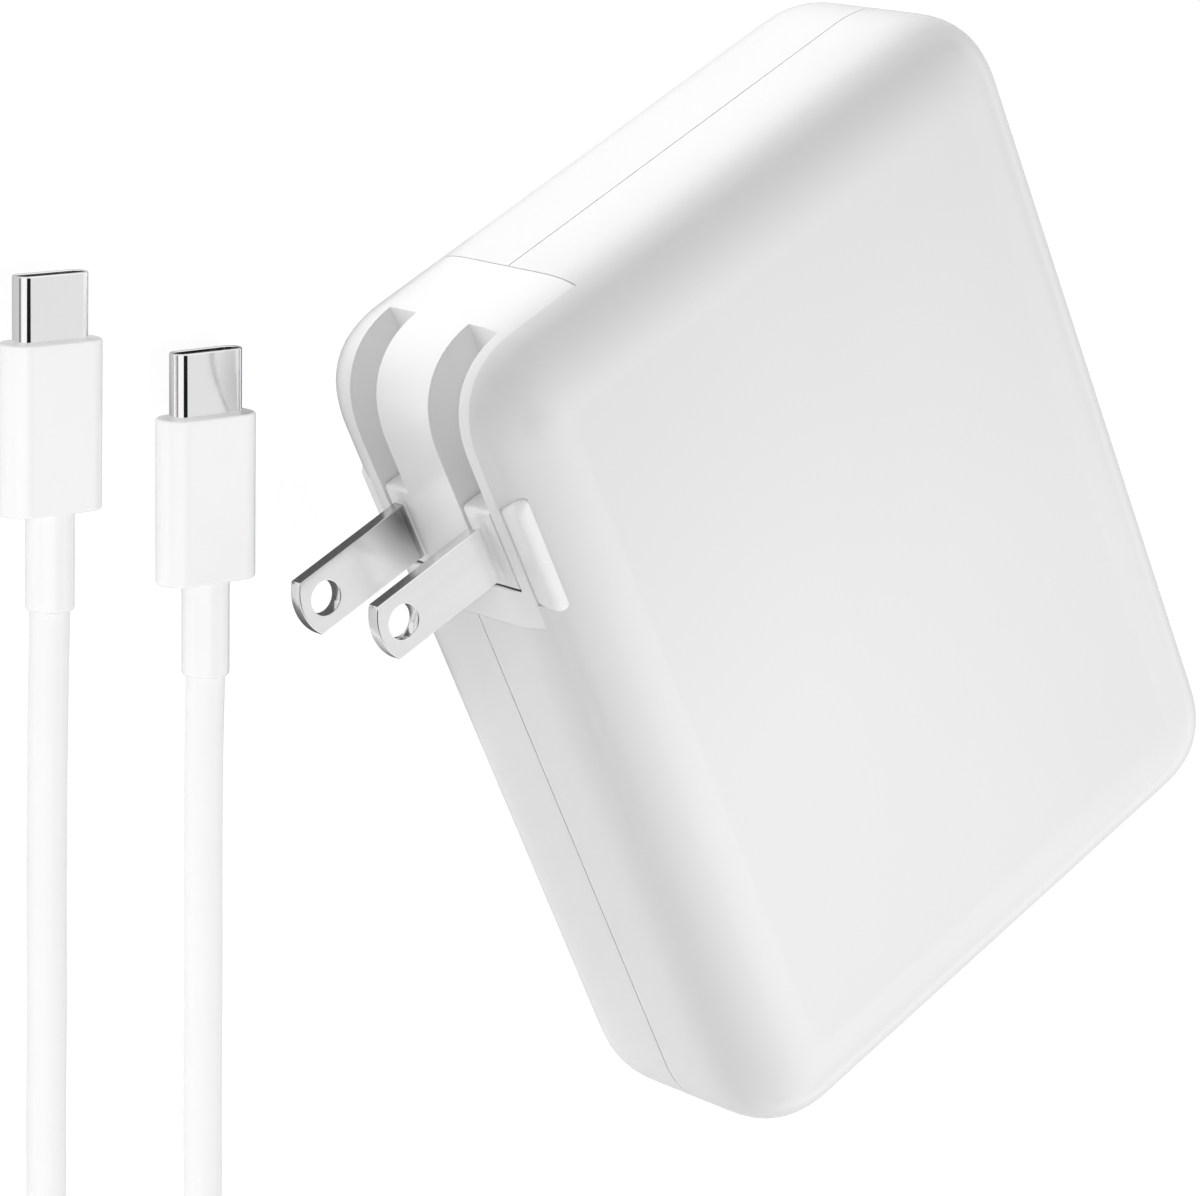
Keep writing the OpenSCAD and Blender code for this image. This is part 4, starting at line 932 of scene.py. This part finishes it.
# Above the foot: the keyway's lip, the stud's head, the detent strip and its room, the rib
lip_t, head_t, head_gap, strip_t, strip_room, rib_gap = 1.8, 1.5, 0.22, 0.4, 0.6, 0.1
head_y = bay_y + seam + lip_t + head_gap
rib_y = head_y + head_t + head_gap + strip_t + strip_room + rib_gap

housing = case_solid("module_skin", 0, 0, case_t)
band = carved(plate("band", plan_ring(skin_t), band_z0, band_z1), (), kept=[
    slab((left_x, rib_y, band_z0 - over), (rib_x + over, top_y, band_z1 + over))])
cutters = [slab((rib_x, mod_y0 - over, inner_z0), (mod_x1 + over, top_y - skin_t, inner_z1)), band,
    slab((left_x + skin_t, mod_y0 - over, inner_z0), (rib_x + over, rib_y, inner_z1))]
for z in prong_z:
    z0, z1 = z - slot_w / 2, z + slot_w / 2
    cutters.append(slab((left_x - over, pivot_y - hub_window, z0), (slot_x, top_y + over, z1)))
    cutters.append(slab((slot_x - over, rib_y - over, z0), (rib_x + over, pivot_y + hub_window, z1)))
    cutters.append(plate("hub_room", circle(pivot_x, pivot_y, hub_room), z0, z1))
notch_r = axle_r + axle_fit
cutters.append(plate("notch", circle(pivot_x, pivot_y, notch_r), mod_z0 - over, mod_z1 + over))
cutters.append(slab((pivot_x, pivot_y - notch_r, mod_z0 - over),
    (mod_x1 + over, pivot_y + notch_r, mod_z1 + over)))
carved(housing, (), kept=[slab((left_x - over, mod_y0, mod_z0), (mod_x1, top_y + over, mod_z1))])
carved(housing, cutters)
# The slots' rims are broken where they meet the outer skin
slot_edge, rim_reach = 0.18, 0.5


def on_slot_rim(p):
    """Whether a point lies on the outer skin at a slot, clear of the module's own sides."""
    return (abs(skin_value(*p)) < skin_near and mod_z0 + rim_reach < p.z < mod_z1 - rim_reach
        and p.x < slot_x + rim_reach and p.y > pivot_y - hub_window - rim_reach)


softened(housing, slot_edge, 2, on_slot_rim)
shade_skin(housing)
dress(housing, module_white)
lit_apart(housing, "slot_box")
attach(housing, "plug_module")
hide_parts("module_housing")
for node, finish in (("module_base", module_white), ("contact_a", contact_gilt),
        ("contact_b", contact_gilt), ("detent_spring", tin_silver), ("stud_clip", tin_silver)):
    dress(nodes[node], finish)


# ---- Prongs and their carrier ----
# Flat blades of nickel-plated brass, pressed into one white moulding that turns on
# its own axle. A rounded thumb bar at each end of the axle swings the pair out.

tang_w, tang_in = 2.4, 1
blade_edge, hole_edge, tip_steps = 0.14, 0.12, 16
# The rounding of a blade's edges ends this far from its root, and a hole's reaches this far
edge_end, hole_rim = 0.5, 0.05
cam_half, cam_r, cam_gap = 2.6, 2, 0.1
hub_side_gap, hub_edge, root_overlap = 0.15, 0.2, 0.1
hub_t = slot_w - 2 * hub_side_gap
tip_x = pivot_x + prong_tip_r - prong_reach
tip_half = math.asin(prong_w / 2 / prong_tip_r)
hole_x = pivot_x + prong_hole_in - prong_reach
root_x = pivot_x - hub_half + tang_in

blade_plan = []
for i in range(tip_steps + 1):
    a = tip_half * (2 * i / tip_steps - 1)
    blade_plan.append((tip_x - prong_tip_r * math.cos(a), pivot_y - prong_tip_r * math.sin(a)))
blade_plan += [(root_x, pivot_y - prong_w / 2), (root_x, pivot_y - tang_w / 2),
    (pivot_x + hub_sweep, pivot_y - tang_w / 2), (pivot_x + hub_sweep, pivot_y + tang_w / 2),
    (root_x, pivot_y + tang_w / 2), (root_x, pivot_y + prong_w / 2)]


def on_flat(p, z):
    """Whether a point lies on a flat of the blade at this height."""
    return abs(abs(p.z - z) - prong_t / 2) < same_height


def pivot_square(half, r, steps):
    """A square in plan with round corners, about the pivot."""
    return rounded_plan(pivot_x - half, pivot_y - half, pivot_x + half, pivot_y + half, r, steps)


blades = []
for z, name in zip(prong_z, ("prong_back", "prong_front")):
    blade = plate(name + "_blade", blade_plan, z - prong_t / 2, z + prong_t / 2)
    softened(blade, blade_edge, 2, lambda p: on_flat(p, z) and p.x < root_x - edge_end)
    carved(blade, [plate("hole", circle(hole_x, pivot_y, prong_hole_r), z - over, z + over)])
    softened(blade, hole_edge, 2, lambda p: on_flat(p, z)
        and math.hypot(p.x - hole_x, p.y - pivot_y) < prong_hole_r + hole_rim)
    blades.append((blade, name))
blade_nickel = grained("blade_nickel", (0.91, 0.91, 0.905), (0.94, 0.94, 0.935), 0.12, 0.18, metal=1,
    grain=1500, relief=0.06, stretch=(1, 6, 6))

carrier = plate("carrier_axle", circle(pivot_x, pivot_y, axle_r),
    lever_z[0] + lever_t / 2, lever_z[1] + lever_t / 2)
parts = [plate("cam", pivot_square(cam_half, cam_r, 8), band_z0 + cam_gap, band_z1 - cam_gap)]
roots = []
for z in prong_z:
    hub = plate("hub", pivot_square(hub_half, hub_r, 4), z - hub_t / 2, z + hub_t / 2)
    parts.append(softened(hub, hub_edge, 2))
    z0, z1 = z - prong_t / 2, z + prong_t / 2
    roots.append(slab((pivot_x - hub_half - over, pivot_y - prong_w / 2, z0),
        (root_x, pivot_y + prong_w / 2, z1)))
    roots.append(slab((root_x - root_overlap, pivot_y - tang_w / 2, z0),
        (pivot_x + hub_sweep + over, pivot_y + tang_w / 2, z1)))
parts += [thumb_bar("thumb_bar", z, outer) for z, outer in zip(lever_z, (-1, 1))]
carved(carrier, [], joined=parts)
carved(carrier, roots)
carrier.data.set_sharp_from_angle(angle=math.radians(crease))
levelled(carrier)
carrier.name = "prong_moulding"
dress(carrier, module_white)
lit_apart(carrier, "slot_box")
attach(carrier, "prongs")
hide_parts("prong_carrier")
for blade, name in blades:
    dress(levelled(blade), blade_nickel)
    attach(blade, "prongs")
    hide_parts(name)
